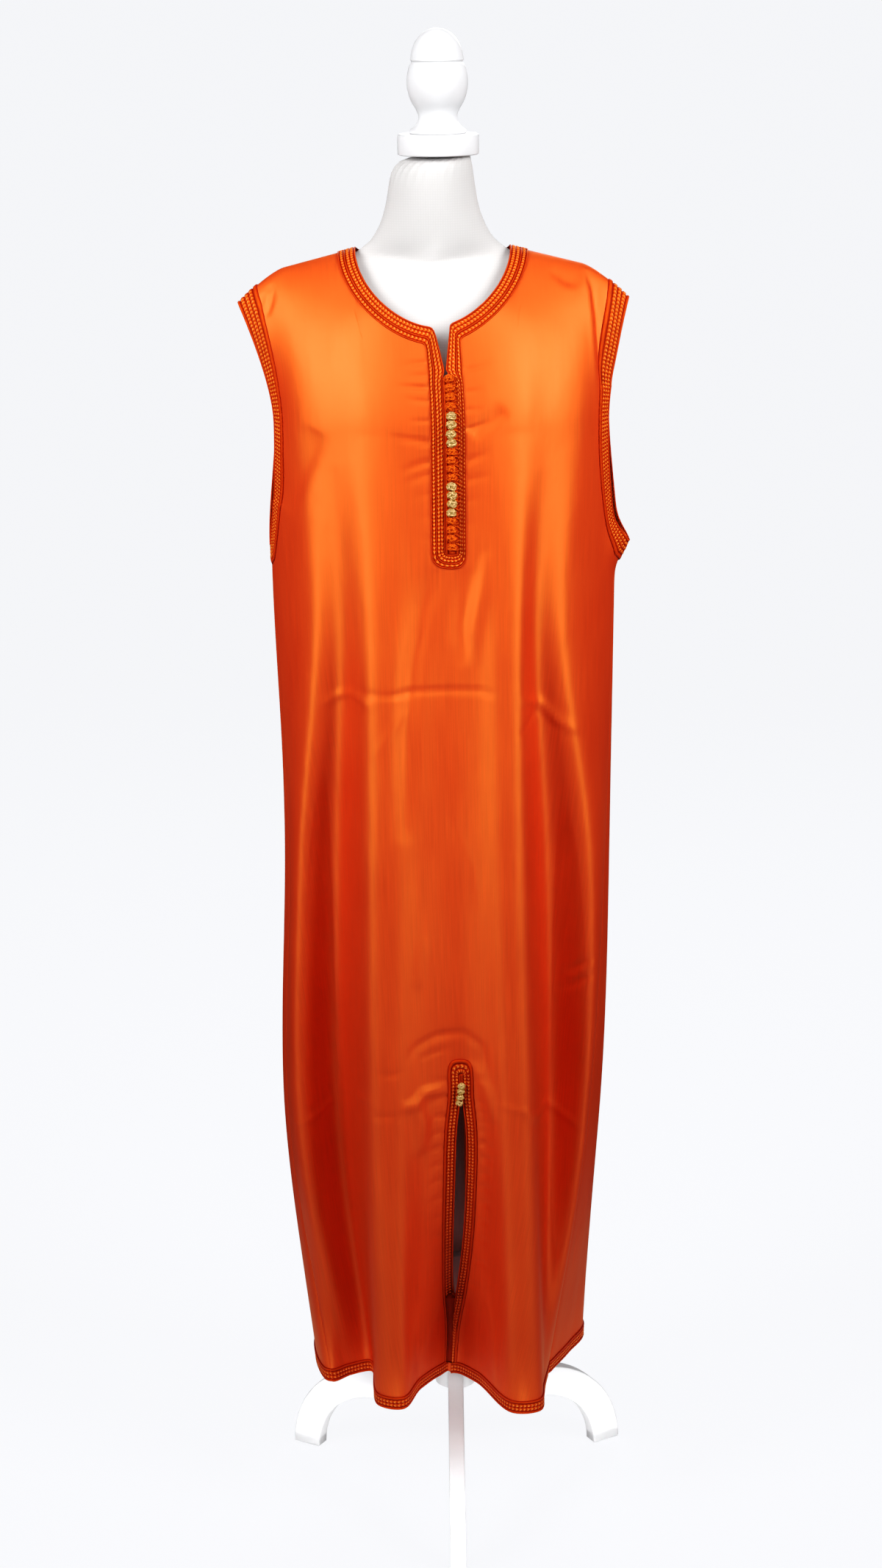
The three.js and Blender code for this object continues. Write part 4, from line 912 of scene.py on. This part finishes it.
CORNER_ROUNDS, CORNER_ROWS = 2, 3


def ease_corner(grid, at):
    """The rows near a corner drawn together, as a braid is that is bent rather than cut."""
    for _ in range(CORNER_ROUNDS):
        for row in range(at - CORNER_ROWS, at + CORNER_ROWS + 1):
            grid[row] = (grid[row - 1] + 2 * grid[row] + grid[row + 1]) / 4


left_arm, left_climb, left_corner = placket_side("left")
right_arm, right_climb, right_corner = placket_side("right")
left_neck, left_neck_climb = neck_lines("front", left_corner, NECK_ROWS)
right_neck, right_neck_climb = neck_lines("front", right_corner, NECK_ROWS)
turn_x, turn_z = turn(TURN_ROWS, PLACKET_SQUARENESS)
strip_centre = (PLACKET["right"] - PLACKET["left"]) / 2
turn_reach_in = (PLACKET["right"] + PLACKET["left"]) / 2
turn_reach_out = np.where(turn_x < 0, PLACKET["half"] + strip_centre, PLACKET["half"] - strip_centre)
reach = turn_reach_in + (turn_reach_out[:, None] - turn_reach_in) * steps_across
turn_distance = strip_centre + turn_x[:, None] * reach
turn_depths = TURN_DEPTH + steps_across * (PLACKET["turn"] - PLACKET["bottom"] - TURN_DEPTH)
turn_height = PLACKET["turn"] - turn_z[:, None] * turn_depths
turn_share = turn_distance / half_length("front", turn_distance, turn_height)
share = np.concatenate([left_neck[::-1], left_arm[1:], turn_share, right_arm[::-1], right_neck[1:]])
climb = np.concatenate([left_neck_climb[::-1], left_climb[1:], turn_height, right_climb[::-1],
                        right_neck_climb[1:]])
for corner in (NECK_ROWS, len(share) - NECK_ROWS):
    ease_corner(share, corner)
    ease_corner(climb, corner)
front_nodes = ["neck_trim_front_left", "neck_trim_front_right", "placket_trim"]
lay_braid("neck_and_placket_braid", "front", share, climb, "neck", front_nodes)

# %% The back of the neck, and the strip under the knots
back_half, back_half_climb = neck_lines("back", np.full(GUIDES, 1e-4), NECK_ROWS)
share = np.concatenate([-back_half[::-1], back_half[1:]])
climb = np.concatenate([back_half_climb[::-1], back_half_climb[1:]])
lay_braid("neck_braid_back", "back", share, climb, "neck", ["neck_trim_back"])

STRIP_TOP, STRIP_BOTTOM, STRIP_ROWS = 1348, PLACKET["turn"] - 3, 60
climb = np.broadcast_to(np.linspace(STRIP_TOP, STRIP_BOTTOM, STRIP_ROWS)[:, None], (STRIP_ROWS, GUIDES))
climb = climb_at("front", np.zeros_like(climb), climb)
distance = -PLACKET["left"] + steps_across * (PLACKET["left"] + PLACKET["right"])
share = distance / half_length("front", distance, climb)
lay_braid("button_strip_ribbon", "front", share, climb, "strip", ["button_strip"])


# %% The armhole braids, from the underarm up to the shoulder ridge
LOW_ARM_ROWS, HIGH_ARM_ROWS = 160, 60  # points of the armhole's edge below and above the chest
ARM_ROWS = 130
SQUARE_END = 30  # over this last climb the guides run straight up to the ridge


def arm_lines(panel, side):
    """Guides inside the armhole's edge, moved in square to it, on a map of distance round and climb."""
    out = -1.0 if side == "left" else 1.0
    t = np.linspace(0, 1, LOW_ARM_ROWS) ** 2
    climb = np.concatenate([UNDERARM + (CHEST - UNDERARM) * t, np.linspace(CHEST, RIDGE, HIGH_ARM_ROWS)[1:]])
    across = edge_share(climb) * half_length(panel, out, climb)
    run = run_along(np.stack([across, climb], axis=-1))
    at = np.linspace(0, run[-1], ARM_ROWS)
    across, climb = np.interp(at, run, across), np.interp(at, run, climb)
    slope = np.stack([np.gradient(across), np.gradient(climb)], axis=-1)
    slope[0] = (-1, 0)
    slope /= np.linalg.norm(slope, axis=-1, keepdims=True)
    slope[climb > RIDGE - SQUARE_END] = (0, 1)
    inward = np.stack([-slope[:, 1], slope[:, 0]], axis=-1)
    width = steps_across * ARM_TRIM_WIDTH
    distance = across[:, None] + inward[:, :1] * width
    climbs = np.minimum(climb[:, None] + inward[:, 1:] * width, RIDGE)
    share = np.minimum(distance / half_length(panel, out, climbs), 1)
    return out * share, climbs


for panel in ("front", "back"):
    for side in ("left", "right"):
        share, climb = arm_lines(panel, side)
        lay_braid(f"arm_braid_{side}_{panel}", panel, share, climb, "arm", [f"arm_trim_{side}_{panel}"])

# %% [markdown]
# ## The knots
# The small balls are knots of cord. A Turk's head knot is one cord that goes round a ball three times and
# rises and falls four times while it does, over and under itself in turn. That is a short formula, so the
# knot is one tube along it. Each knot goes through a loop of cord from the other side of the placket.

# %% Tubes along a line
def tube(points, radius, sides=7, closed=False):
    """Points and faces of a round cord along a line, in millimetres."""
    points = np.asarray(points, float)
    ahead, behind = np.roll(points, -1, axis=0), np.roll(points, 1, axis=0)
    if not closed:
        ahead[-1], behind[0] = points[-1], points[0]
    along = ahead - behind
    along /= np.linalg.norm(along, axis=1, keepdims=True)
    normal = np.cross(along[0], (0.3, 0.5, 0.8))
    frames = []
    for direction in along:
        normal = normal - direction * (normal @ direction)
        normal /= np.linalg.norm(normal)
        frames.append((normal, np.cross(direction, normal)))
    frames = np.array(frames)
    angle = np.arange(sides) * 2 * math.pi / sides
    radius = np.broadcast_to(radius, len(points))[:, None, None]
    cos, sin = np.cos(angle)[None, :, None], np.sin(angle)[None, :, None]
    grid = points[:, None] + (frames[:, None, 0] * cos + frames[:, None, 1] * sin) * radius
    rows = len(points)
    faces = grid_faces(rows, sides, closed=True).tolist()
    if closed:
        last = (rows - 1) * sides
        faces += [[last + n, last + (n + 1) % sides, (n + 1) % sides, n] for n in range(sides)]
    else:
        faces += [list(range(sides)), list(range((rows - 1) * sides, rows * sides))[::-1]]
    return grid.reshape(-1, 3), faces


def join_parts(parts):
    """Several lists of points and faces as one."""
    points, faces, first = [], [], 0
    for part_points, part_faces in parts:
        points.append(part_points)
        faces += [[corner + first for corner in face] for face in part_faces]
        first += len(part_points)
    return np.vstack(points), faces


# %% The knot itself
KNOT_LEADS, KNOT_BIGHTS = 3, 4
KNOT_SIZE = np.array([4.3, 3.1, 3.7])  # half its width, depth and height, to the middle of its cord
KNOT_CORD, KNOT_STEPS = 1.15, 120
KNOT_RISE = math.radians(62)  # how far up and down the ball the cord goes
KNOT_WEAVE = 0.11  # how far it goes out and in, to pass over and under itself
CORE_SIDES, CORE_RINGS, CORE_SIZE = 12, 7, 0.86


def knot_ball(stretch, spin):
    """A Turk's head knot round a core, its open ends towards the viewer and turned by spin."""
    t = np.linspace(0, 2 * math.pi, KNOT_STEPS, endpoint=False)
    around = KNOT_LEADS * t + spin
    rise = KNOT_RISE * np.cos(KNOT_BIGHTS * t)
    radius = 1 + KNOT_WEAVE * np.sin(2 * KNOT_BIGHTS * t)
    ball = np.stack([np.cos(rise) * np.cos(around), -np.sin(rise), np.cos(rise) * np.sin(around)], axis=-1)
    cord = tube(ball * radius[:, None] * KNOT_SIZE * stretch, KNOT_CORD, closed=True)
    angle = np.linspace(0, 2 * math.pi, CORE_SIDES, endpoint=False)
    tilt = np.linspace(-math.pi / 2, math.pi / 2, CORE_RINGS + 2)[1:-1, None]
    around, out, up = np.cos(tilt) * np.cos(angle), np.sin(tilt), np.cos(tilt) * np.sin(angle)
    core = np.stack(np.broadcast_arrays(around, out, up), axis=-1) * KNOT_SIZE * stretch * CORE_SIZE
    faces = grid_faces(CORE_RINGS, CORE_SIDES, closed=True).tolist()
    last_ring = (CORE_RINGS - 1) * CORE_SIDES
    faces += [list(range(CORE_SIDES)), list(range(last_ring, last_ring + CORE_SIDES))[::-1]]
    return join_parts([cord, (core.reshape(-1, 3), faces)])


def on_cloth(distance, height, lift):
    """A place over the front's cloth, from a distance off the centre line, a height and a lift."""
    distance, height, lift = (np.atleast_1d(np.asarray(given, float)) for given in (distance, height, lift))
    climb = climb_at("front", np.zeros_like(height), height)
    return cloth_point("front", distance / half_length("front", distance, climb), climb, lift)


# %% Twenty knots in five groups of four, orange and pale gold in turn, and a loop for each
KNOT_COUNT, KNOT_GROUP = 20, 4
KNOT_TOP, KNOT_BOTTOM, KNOT_OUT = 1347, 1172, 3.5
KNOT_LIFT = 5.2
GOLD_SIZE, ORANGE_SIZE, GOLD_SPREAD = 1.06, 0.94, 0.6  # the gold knots are larger and more even
LOOP_LINE = [  # across, up and out, from the strip's edge round the knot and back
    (11.6, 1.5, 1.9), (9.2, 2.9, 2.6), (6.4, 3.9, 3.0), (3.4, 4.2, 3.1), (0.4, 3.4, 3.0),
    (-1.4, 1.4, 2.7), (-1.4, -1.0, 2.6), (0.4, -3.2, 2.9), (3.4, -4.1, 3.1), (6.4, -3.9, 3.0),
    (9.2, -3.1, 2.6), (11.6, -1.9, 1.9)]
LOOP_CORD, LOOP_STEPS = 0.75, 30
chance = np.random.default_rng(20)
loops = []
for number in range(KNOT_COUNT):
    height = KNOT_TOP + (KNOT_BOTTOM - KNOT_TOP) * number / (KNOT_COUNT - 1)
    gold = number // KNOT_GROUP % 2 == 1
    stretch = 1 + chance.uniform(-0.05, 0.05, 3) * (GOLD_SPREAD if gold else 1)
    shift_across, shift_up, spin = chance.uniform((-0.5, -0.35, 0), (0.5, 0.35, 2 * math.pi))
    points, faces = knot_ball(stretch * (GOLD_SIZE if gold else ORANGE_SIZE), spin)
    middle = on_cloth(KNOT_OUT + shift_across, height + shift_up, KNOT_LIFT)[0]
    piece = mesh_piece(f"knot_{number + 1:02d}", points + middle, faces)
    tidy_mesh(piece, merge=0.001, recalculate=True)
    finish_piece(piece, "knot_gold" if gold else "knot_orange", f"button_{number + 1:02d}")
    line = np.array(LOOP_LINE)
    wander = chance.uniform(-0.25, 0.25, line.shape)
    knots = np.arange(len(line))
    line = smooth_through(knots, line + wander, np.linspace(0, len(line) - 1, LOOP_STEPS))
    loops.append(tube(on_cloth(line[:, 0], height + line[:, 1], line[:, 2]), LOOP_CORD, sides=6))
knots_made = [piece for piece in bpy.data.objects if piece.name.startswith("knot_")]
loop_piece = finish_piece(mesh_piece("button_loops", *join_parts(loops)), "knot_orange")
print(len(knots_made), "knots and", len(loops), "loops")

# %% The bar tack at the slit's top: four short turns of gold thread
TACK = {"top": 563, "length": 28, "lean": 0.14, "lobes": 4, "across": 1.4, "lift": 4.6, "spin": 0.9}
TACK_SIZE = np.array([0.80, 0.80, 0.78])  # of a knot's own size
parts = []
for lobe in range(TACK["lobes"]):
    down = (lobe + 0.5) * TACK["length"] / TACK["lobes"]
    points, faces = knot_ball(TACK_SIZE, lobe * TACK["spin"])
    middle = on_cloth(TACK["across"] - down * TACK["lean"], TACK["top"] - down, TACK["lift"])[0]
    parts.append((points + middle, faces))
bar_tack = mesh_piece("gold_bar_tack", *join_parts(parts))
finish_piece(bar_tack, "knot_gold", "slit_bar_tack")

# %% [markdown]
# ## The dress form
# The form is a padded shell under a stretched white jersey, with a turned wooden cap and finial over its
# neck. The robe hides most of it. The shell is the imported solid's own shape, made smooth, and the turned
# pieces are spun up ring by ring from a circle, as a turner's profile is cut.

# %% The covered shell
def copy_of_node(node, name):
    """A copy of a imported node's mesh as a piece of its own, with its loose triangles merged."""
    source = bpy.data.objects[node]
    piece = bpy.data.objects.new(name, source.data.copy())
    bpy.context.collection.objects.link(piece)
    piece.data.materials.clear()
    tidy_mesh(piece, merge=0.01)
    return piece


torso = copy_of_node("form_torso", "jersey_torso")
apply_modifier(torso, "SUBSURF", levels=2, render_levels=2)
torso.data.polygons.foreach_set("use_smooth", np.ones(len(torso.data.polygons), dtype=bool))
finish_piece(torso, "form_cover", "form_torso")
print("the torso has", len(torso.data.polygons), "faces")


# %% Turned pieces
SMOOTH_ANGLE = math.radians(35)


def turned_piece(name, profile, segments):
    """A piece turned on the pole's axis: a circle, drawn up ring by ring along a profile."""
    profile = [(radius * MM, height * MM) for radius, height in profile]
    radius, height = profile[0]
    start = (*AXIS[:2], height)
    bpy.ops.object.select_all(action="DESELECT")
    bpy.ops.mesh.primitive_circle_add(vertices=segments, radius=radius, fill_type="NGON", location=start)
    piece = bpy.context.object
    piece.name = name
    bpy.ops.object.transform_apply(location=True, rotation=True, scale=True)
    bpy.ops.object.mode_set(mode="EDIT")
    bpy.ops.mesh.select_all(action="SELECT")
    for next_radius, next_height in profile[1:]:
        bpy.ops.mesh.extrude_region_move(TRANSFORM_OT_translate={"value": (0, 0, next_height - height)})
        scale = next_radius / radius
        bpy.ops.transform.resize(value=(scale, scale, 1))
        radius, height = next_radius, next_height
    bpy.ops.mesh.select_all(action="SELECT")
    bpy.ops.mesh.normals_make_consistent(inside=False)
    bpy.ops.object.mode_set(mode="OBJECT")
    select_only(piece)
    bpy.ops.object.shade_smooth_by_angle(angle=SMOOTH_ANGLE)
    return piece


def rounded_profile(points, steps=5):
    """A turner's profile through its points, with the stretches between them curved."""
    points = np.array(points, float)
    knots = run_along(points)
    fine = np.concatenate([np.linspace(a, b, steps, endpoint=False) for a, b in zip(knots, knots[1:])])
    return smooth_through(knots, points, np.append(fine, knots[-1])).tolist()


FOOT = [(29.5, 1591.9), (30.5, 1592.6), (30.5, 1594.8), (29.8, 1595.6)]
STEM_AND_BALL = [(29.0, 1596), (24.5, 1599.5), (21, 1605.5), (20.6, 1609), (22, 1614), (28.5, 1626),
                 (32, 1638), (32.5, 1646), (31.3, 1656), (29.3, 1662.6)]
GROOVE_CUT = [(27.6, 1664.2), (27.2, 1665.6), (27.8, 1667)]
DOME = [(28.4, 1667.6), (26.4, 1678), (21.5, 1688.5), (14, 1696), (5.5, 1699.6), (0.8, 1700)]
TURNED = {  # each node's profile, and the faces round it
    "finial": (FOOT + rounded_profile(STEM_AND_BALL) + GROOVE_CUT + rounded_profile(DOME), 96),
    "neck_cap": ([(42.0, 1569.7), (43.1, 1570.4), (43.5, 1571.6), (43.5, 1588.6), (43.1, 1590.2),
                  (41.8, 1591.3), (39.5, 1591.7), (12, 1591.7)], 96),
    "pole": ([(13.4, 306.3), (14, 307), (14, 837), (13.4, 837.7)], 48),
    "hub": ([(22.4, 134), (23.6, 134.8), (24, 136.2), (24, 303), (23.4, 305), (21.8, 306), (14.3, 306)], 64),
}
for node, (profile, segments) in TURNED.items():
    finish_piece(turned_piece(f"turned_{node}", profile, segments), "stand_wood", node)

# %% The three legs, sawn from board, with their edges taken off
EDGE_ROUND = 1.6
for node in ("leg_front", "leg_back_right", "leg_back_left"):
    leg = copy_of_node(node, f"sawn_{node}")
    select_only(leg)
    bpy.ops.object.mode_set(mode="EDIT")
    bpy.ops.mesh.select_all(action="SELECT")
    bpy.ops.mesh.dissolve_limited(angle_limit=math.radians(0.5))
    bpy.ops.object.mode_set(mode="OBJECT")
    apply_modifier(leg, "BEVEL", width=EDGE_ROUND * MM, segments=3, limit_method="ANGLE",
                   angle_limit=math.radians(50))
    select_only(leg)
    bpy.ops.object.shade_smooth_by_angle(angle=SMOOTH_ANGLE)
    finish_piece(leg, "stand_wood", node)
print("the stand is made")

# %% [markdown]
# ## Satin
# Satin floats its warp threads over the cloth's face, side by side, so light slides along them: a highlight
# is drawn out across the threads and takes the cloth's own orange, and the troughs go deep red because the
# light there has met orange cloth several times. The shader's anisotropy does the first, and bounced light
# the second. The threads lie 0.1 mm apart, too fine to show, so they are drawn as slubs 1.2 mm wide.

# %% Orange polyester satin, woven and pressed
satin, satin_shader = new_material("orange polyester satin")
cloth_plan = add_node(satin, "ShaderNodeUVMap", uv_map="cloth").outputs[0]  # in metres, across and up


def patch_noise(material, coordinates, across, along, detail=2.0):
    """A noise whose patches are as wide and as long, in millimetres, as asked for."""
    scale = (1 / (across * MM), 1 / (along * MM), 1 / (across * MM))
    stretched = add_node(material, "ShaderNodeMapping", {"Vector": coordinates, "Scale": scale})
    return add_node(material, "ShaderNodeTexNoise", {
        "Vector": stretched.outputs[0], "Scale": 1, "Detail": detail})


slubs = patch_noise(satin, cloth_plan, 1.2, 70)
rumples = patch_noise(satin, cloth_plan, 26, 40)
folds_of_shade = patch_noise(satin, cloth_plan, 60, 110, detail=1)
# painted shade: broad patches of darker and lighter orange, 60 mm wide and 110 mm long, laid at random as the
# shade of shallow folds
fold_shade_orange = add_node(satin, "ShaderNodeMix", {
    0: folds_of_shade.outputs[0], 6: srgb("#DC441B"), 7: srgb("#EA5225")}, data_type="RGBA")
thread_tone_and_painted_shade = add_node(satin, "ShaderNodeMix", {
    0: slubs.outputs[0], 6: srgb("#D6D6D6"), 7: srgb("#FFFFFF")}, data_type="RGBA")
shade = add_node(satin, "ShaderNodeMix", {
    0: 1.0, 6: fold_shade_orange.outputs[2], 7: thread_tone_and_painted_shade.outputs[2]}, data_type="RGBA", blend_type="MULTIPLY")
gloss = add_node(satin, "ShaderNodeMapRange", {0: slubs.outputs[0], 3: 0.52, 4: 0.64})
thread_bump = add_node(satin, "ShaderNodeBump", {
    "Height": slubs.outputs[0], "Distance": 0.05 * MM, "Strength": 0.6})
cloth_bump = add_node(satin, "ShaderNodeBump", {
    "Height": rumples.outputs[0], "Distance": 1.1 * MM, "Strength": 0.55, "Normal": thread_bump.outputs[0]})
fill_inputs(satin, satin_shader, {
    "Base Color": shade.outputs[2], "Roughness": gloss.outputs[0], "Normal": cloth_bump.outputs[0],
    "Metallic": 0.25, "IOR": 2.3, "Specular Tint": srgb("#FFC070"), "Anisotropic": 0.5,
    "Anisotropic Rotation": 0.25})
for piece in cloth.values():
    piece.data.materials.append(satin)

# %% [markdown]
# ## Silk, cord and metal thread
# The braid is rolled and stitched from twisted silk. The thread attribute, which was written with the
# stitches, tells the material how high each point lies, and the material paints it by that height: painted
# shade, dark red in the grooves and between stitches, and a painted highlight, light orange on the crests.
# The knots are tied in a twisted rayon cord, and the pale ones in a cord wrapped in metal thread. Its strands
# lie 0.9 mm apart and slant across the cord.

# %% Orange silk braid
braid_silk, shader = new_material("orange silk braid")
thread = add_node(braid_silk, "ShaderNodeAttribute", attribute_name="thread")
# painted shade and highlight: dark red where the braid lies low, in its grooves and between stitches, light
# orange on its crests
painted_shade_ramp = add_node(braid_silk, "ShaderNodeValToRGB", {0: thread.outputs["Fac"]})
stops = painted_shade_ramp.color_ramp.elements
stops[0].position, stops[0].color = 0.06, srgb("#8E1C06")
stops[1].position, stops[1].color = 0.97, srgb("#FFAC68")
stops.new(0.35).color = srgb("#C43C0A")
stops.new(0.7).color = srgb("#EE7430")
braid_plan = add_node(braid_silk, "ShaderNodeUVMap", uv_map="cloth").outputs[0]
TWIST = 0.9  # mm from strand to strand
WAVE = math.pi / 10  # a wave texture's bands lie this far apart at a scale of one
slant = add_node(braid_silk, "ShaderNodeMapping", {
    "Vector": braid_plan, "Rotation": (0, 0, math.radians(35))})
strands = add_node(braid_silk, "ShaderNodeTexWave", {
    "Vector": slant.outputs[0], "Scale": WAVE / (TWIST * MM), "Distortion": 1.2, "Detail": 1.0})
worn = patch_noise(braid_silk, braid_plan, 9, 14)
worn_tint = add_node(braid_silk, "ShaderNodeMix", {
    0: worn.outputs[0], 6: srgb("#D8CFCB"), 7: srgb("#FFFFFF")}, data_type="RGBA")
# the braid's colour: the ramp's painted shade and highlight, times the patches of wear
silk = add_node(braid_silk, "ShaderNodeMix", {
    0: 1.0, 6: painted_shade_ramp.outputs[0], 7: worn_tint.outputs[2]}, data_type="RGBA", blend_type="MULTIPLY")
strand_bump = add_node(braid_silk, "ShaderNodeBump", {
    "Height": strands.outputs[1], "Distance": 0.22 * MM, "Strength": 0.7})
fill_inputs(braid_silk, shader, {
    "Base Color": silk.outputs[2], "Normal": strand_bump.outputs[0], "Roughness": 0.52,
    "Specular Tint": srgb("#FF9C4C")})
for piece in braids["front"] + braids["back"]:
    piece.data.materials.append(braid_silk)


# %% Twisted cords, in rayon and in metal thread
def cord_material(name, groove_shade, crest, roughness, metallic, strand):
    """A twisted cord: slanted strands, with painted shade that makes them darker in their grooves."""
    material, shader = new_material(name)
    place = add_node(material, "ShaderNodeTexCoord").outputs["Object"]
    slant = add_node(material, "ShaderNodeMapping", {
        "Vector": place, "Rotation": (0.4, math.radians(38), 0.3)})
    strands = add_node(material, "ShaderNodeTexWave", {
        "Vector": slant.outputs[0], "Scale": WAVE / (strand * MM), "Distortion": 2.4, "Detail": 1.0,
        "Detail Scale": 0.6})
    # painted shade: the strands' grooves are coloured darker than their crests
    colour = add_node(material, "ShaderNodeMix", {
        0: strands.outputs[1], 6: srgb(groove_shade), 7: srgb(crest)}, data_type="RGBA")
    bump = add_node(material, "ShaderNodeBump", {
        "Height": strands.outputs[1], "Distance": 0.3 * MM, "Strength": 0.8})
    fill_inputs(material, shader, {
        "Base Color": colour.outputs[2], "Normal": bump.outputs[0], "Roughness": roughness,
        "Metallic": metallic, "Specular Tint": srgb(crest)})
    return material


# the second colour is the cord's own, and the first is painted shade in its grooves
orange_cord = cord_material("orange rayon cord", "#7E1A02", "#F26C22", 0.5, 0.0, TWIST)
gold_thread = cord_material("pale gold metallic thread", "#9C7238", "#EBCB90", 0.38, 0.45, 0.7)
for number, piece in enumerate(knots_made):
    piece.data.materials.append(gold_thread if number // KNOT_GROUP % 2 else orange_cord)
loop_piece.data.materials.append(orange_cord)
bar_tack.data.materials.append(gold_thread)

# %% [markdown]
# ## The form's jersey and paint
# The cover is a fine cotton knit, pulled tight: its wales run up the form 1.3 mm apart, drawn twice as wide
# as that so that they show. The stand is turned and sawn wood under brushed satin paint, which keeps faint
# runs along the grain and turns a little grey where hands and floor dust touch it.

# %% White cotton jersey
jersey, shader = new_material("white cotton jersey")
place = add_node(jersey, "ShaderNodeTexCoord").outputs["Object"]
WALE = 2.6
wales, courses = (add_node(jersey, "ShaderNodeTexWave", {
    "Vector": place, "Scale": WAVE / (WALE * MM), "Distortion": distortion}, bands_direction=direction)
    for direction, distortion in (("X", 0.6), ("Z", 0.8)))
knit = add_node(jersey, "ShaderNodeMath", {0: wales.outputs[1], 1: courses.outputs[1]}, operation="MULTIPLY")
knit_bump = add_node(jersey, "ShaderNodeBump", {
    "Height": knit.outputs[0], "Distance": 0.12 * MM, "Strength": 0.5})
# painted shade: the jersey is a shade darker in the knit's hollows, where the pattern that makes its bump is
# low
knit_shade = add_node(jersey, "ShaderNodeMix", {
    0: knit.outputs[0], 6: srgb("#BCBAB9"), 7: srgb("#C2C0BF")}, data_type="RGBA")
fill_inputs(jersey, shader, {
    "Base Color": knit_shade.outputs[2], "Normal": knit_bump.outputs[0], "Roughness": 0.85,
    "Sheen Weight": 0.1})
torso.data.materials.append(jersey)

# %% White satin paint on turned and sawn wood
paint, shader = new_material("white satin paint on wood")
place = add_node(paint, "ShaderNodeTexCoord").outputs["Object"]
brushed = patch_noise(paint, place, 2.2, 2.2)
GRAIN = (1 / (3 * MM), 1 / (3 * MM), 1 / (60 * MM))  # runs 3 mm wide and 60 mm long
grain = add_node(paint, "ShaderNodeMapping", {"Vector": place, "Scale": GRAIN})
runs = add_node(paint, "ShaderNodeTexNoise", {"Vector": grain.outputs[0], "Scale": 1, "Detail": 2})
dust = patch_noise(paint, place, 35, 35, detail=4)
paint_shade = add_node(paint, "ShaderNodeMix", {
    0: dust.outputs[0], 6: srgb("#D4D4D6"), 7: srgb("#E2E2E4")}, data_type="RGBA")
paint_gloss = add_node(paint, "ShaderNodeMapRange", {0: brushed.outputs[0], 3: 0.32, 4: 0.46})
peel = add_node(paint, "ShaderNodeBump", {
    "Height": brushed.outputs[0], "Distance": 0.1 * MM, "Strength": 0.35})
run_bump = add_node(paint, "ShaderNodeBump", {
    "Height": runs.outputs[0], "Distance": 0.12 * MM, "Strength": 0.35, "Normal": peel.outputs[0]})
fill_inputs(paint, shader, {
    "Base Color": paint_shade.outputs[2], "Roughness": paint_gloss.outputs[0],
    "Normal": run_bump.outputs[0]})
for piece in bpy.data.objects:
    if piece.name.startswith(("turned_", "sawn_")):
        piece.data.materials.clear()
        piece.data.materials.append(paint)

# %% The cloth is declared, with the size it was cut to
YOKE_RISE = 60  # how much longer the cloth is up the yoke than the yoke's span of the climb
for panel, piece in cloth.items():
    length = (RIDGE - HEM + YOKE_RISE) * MM
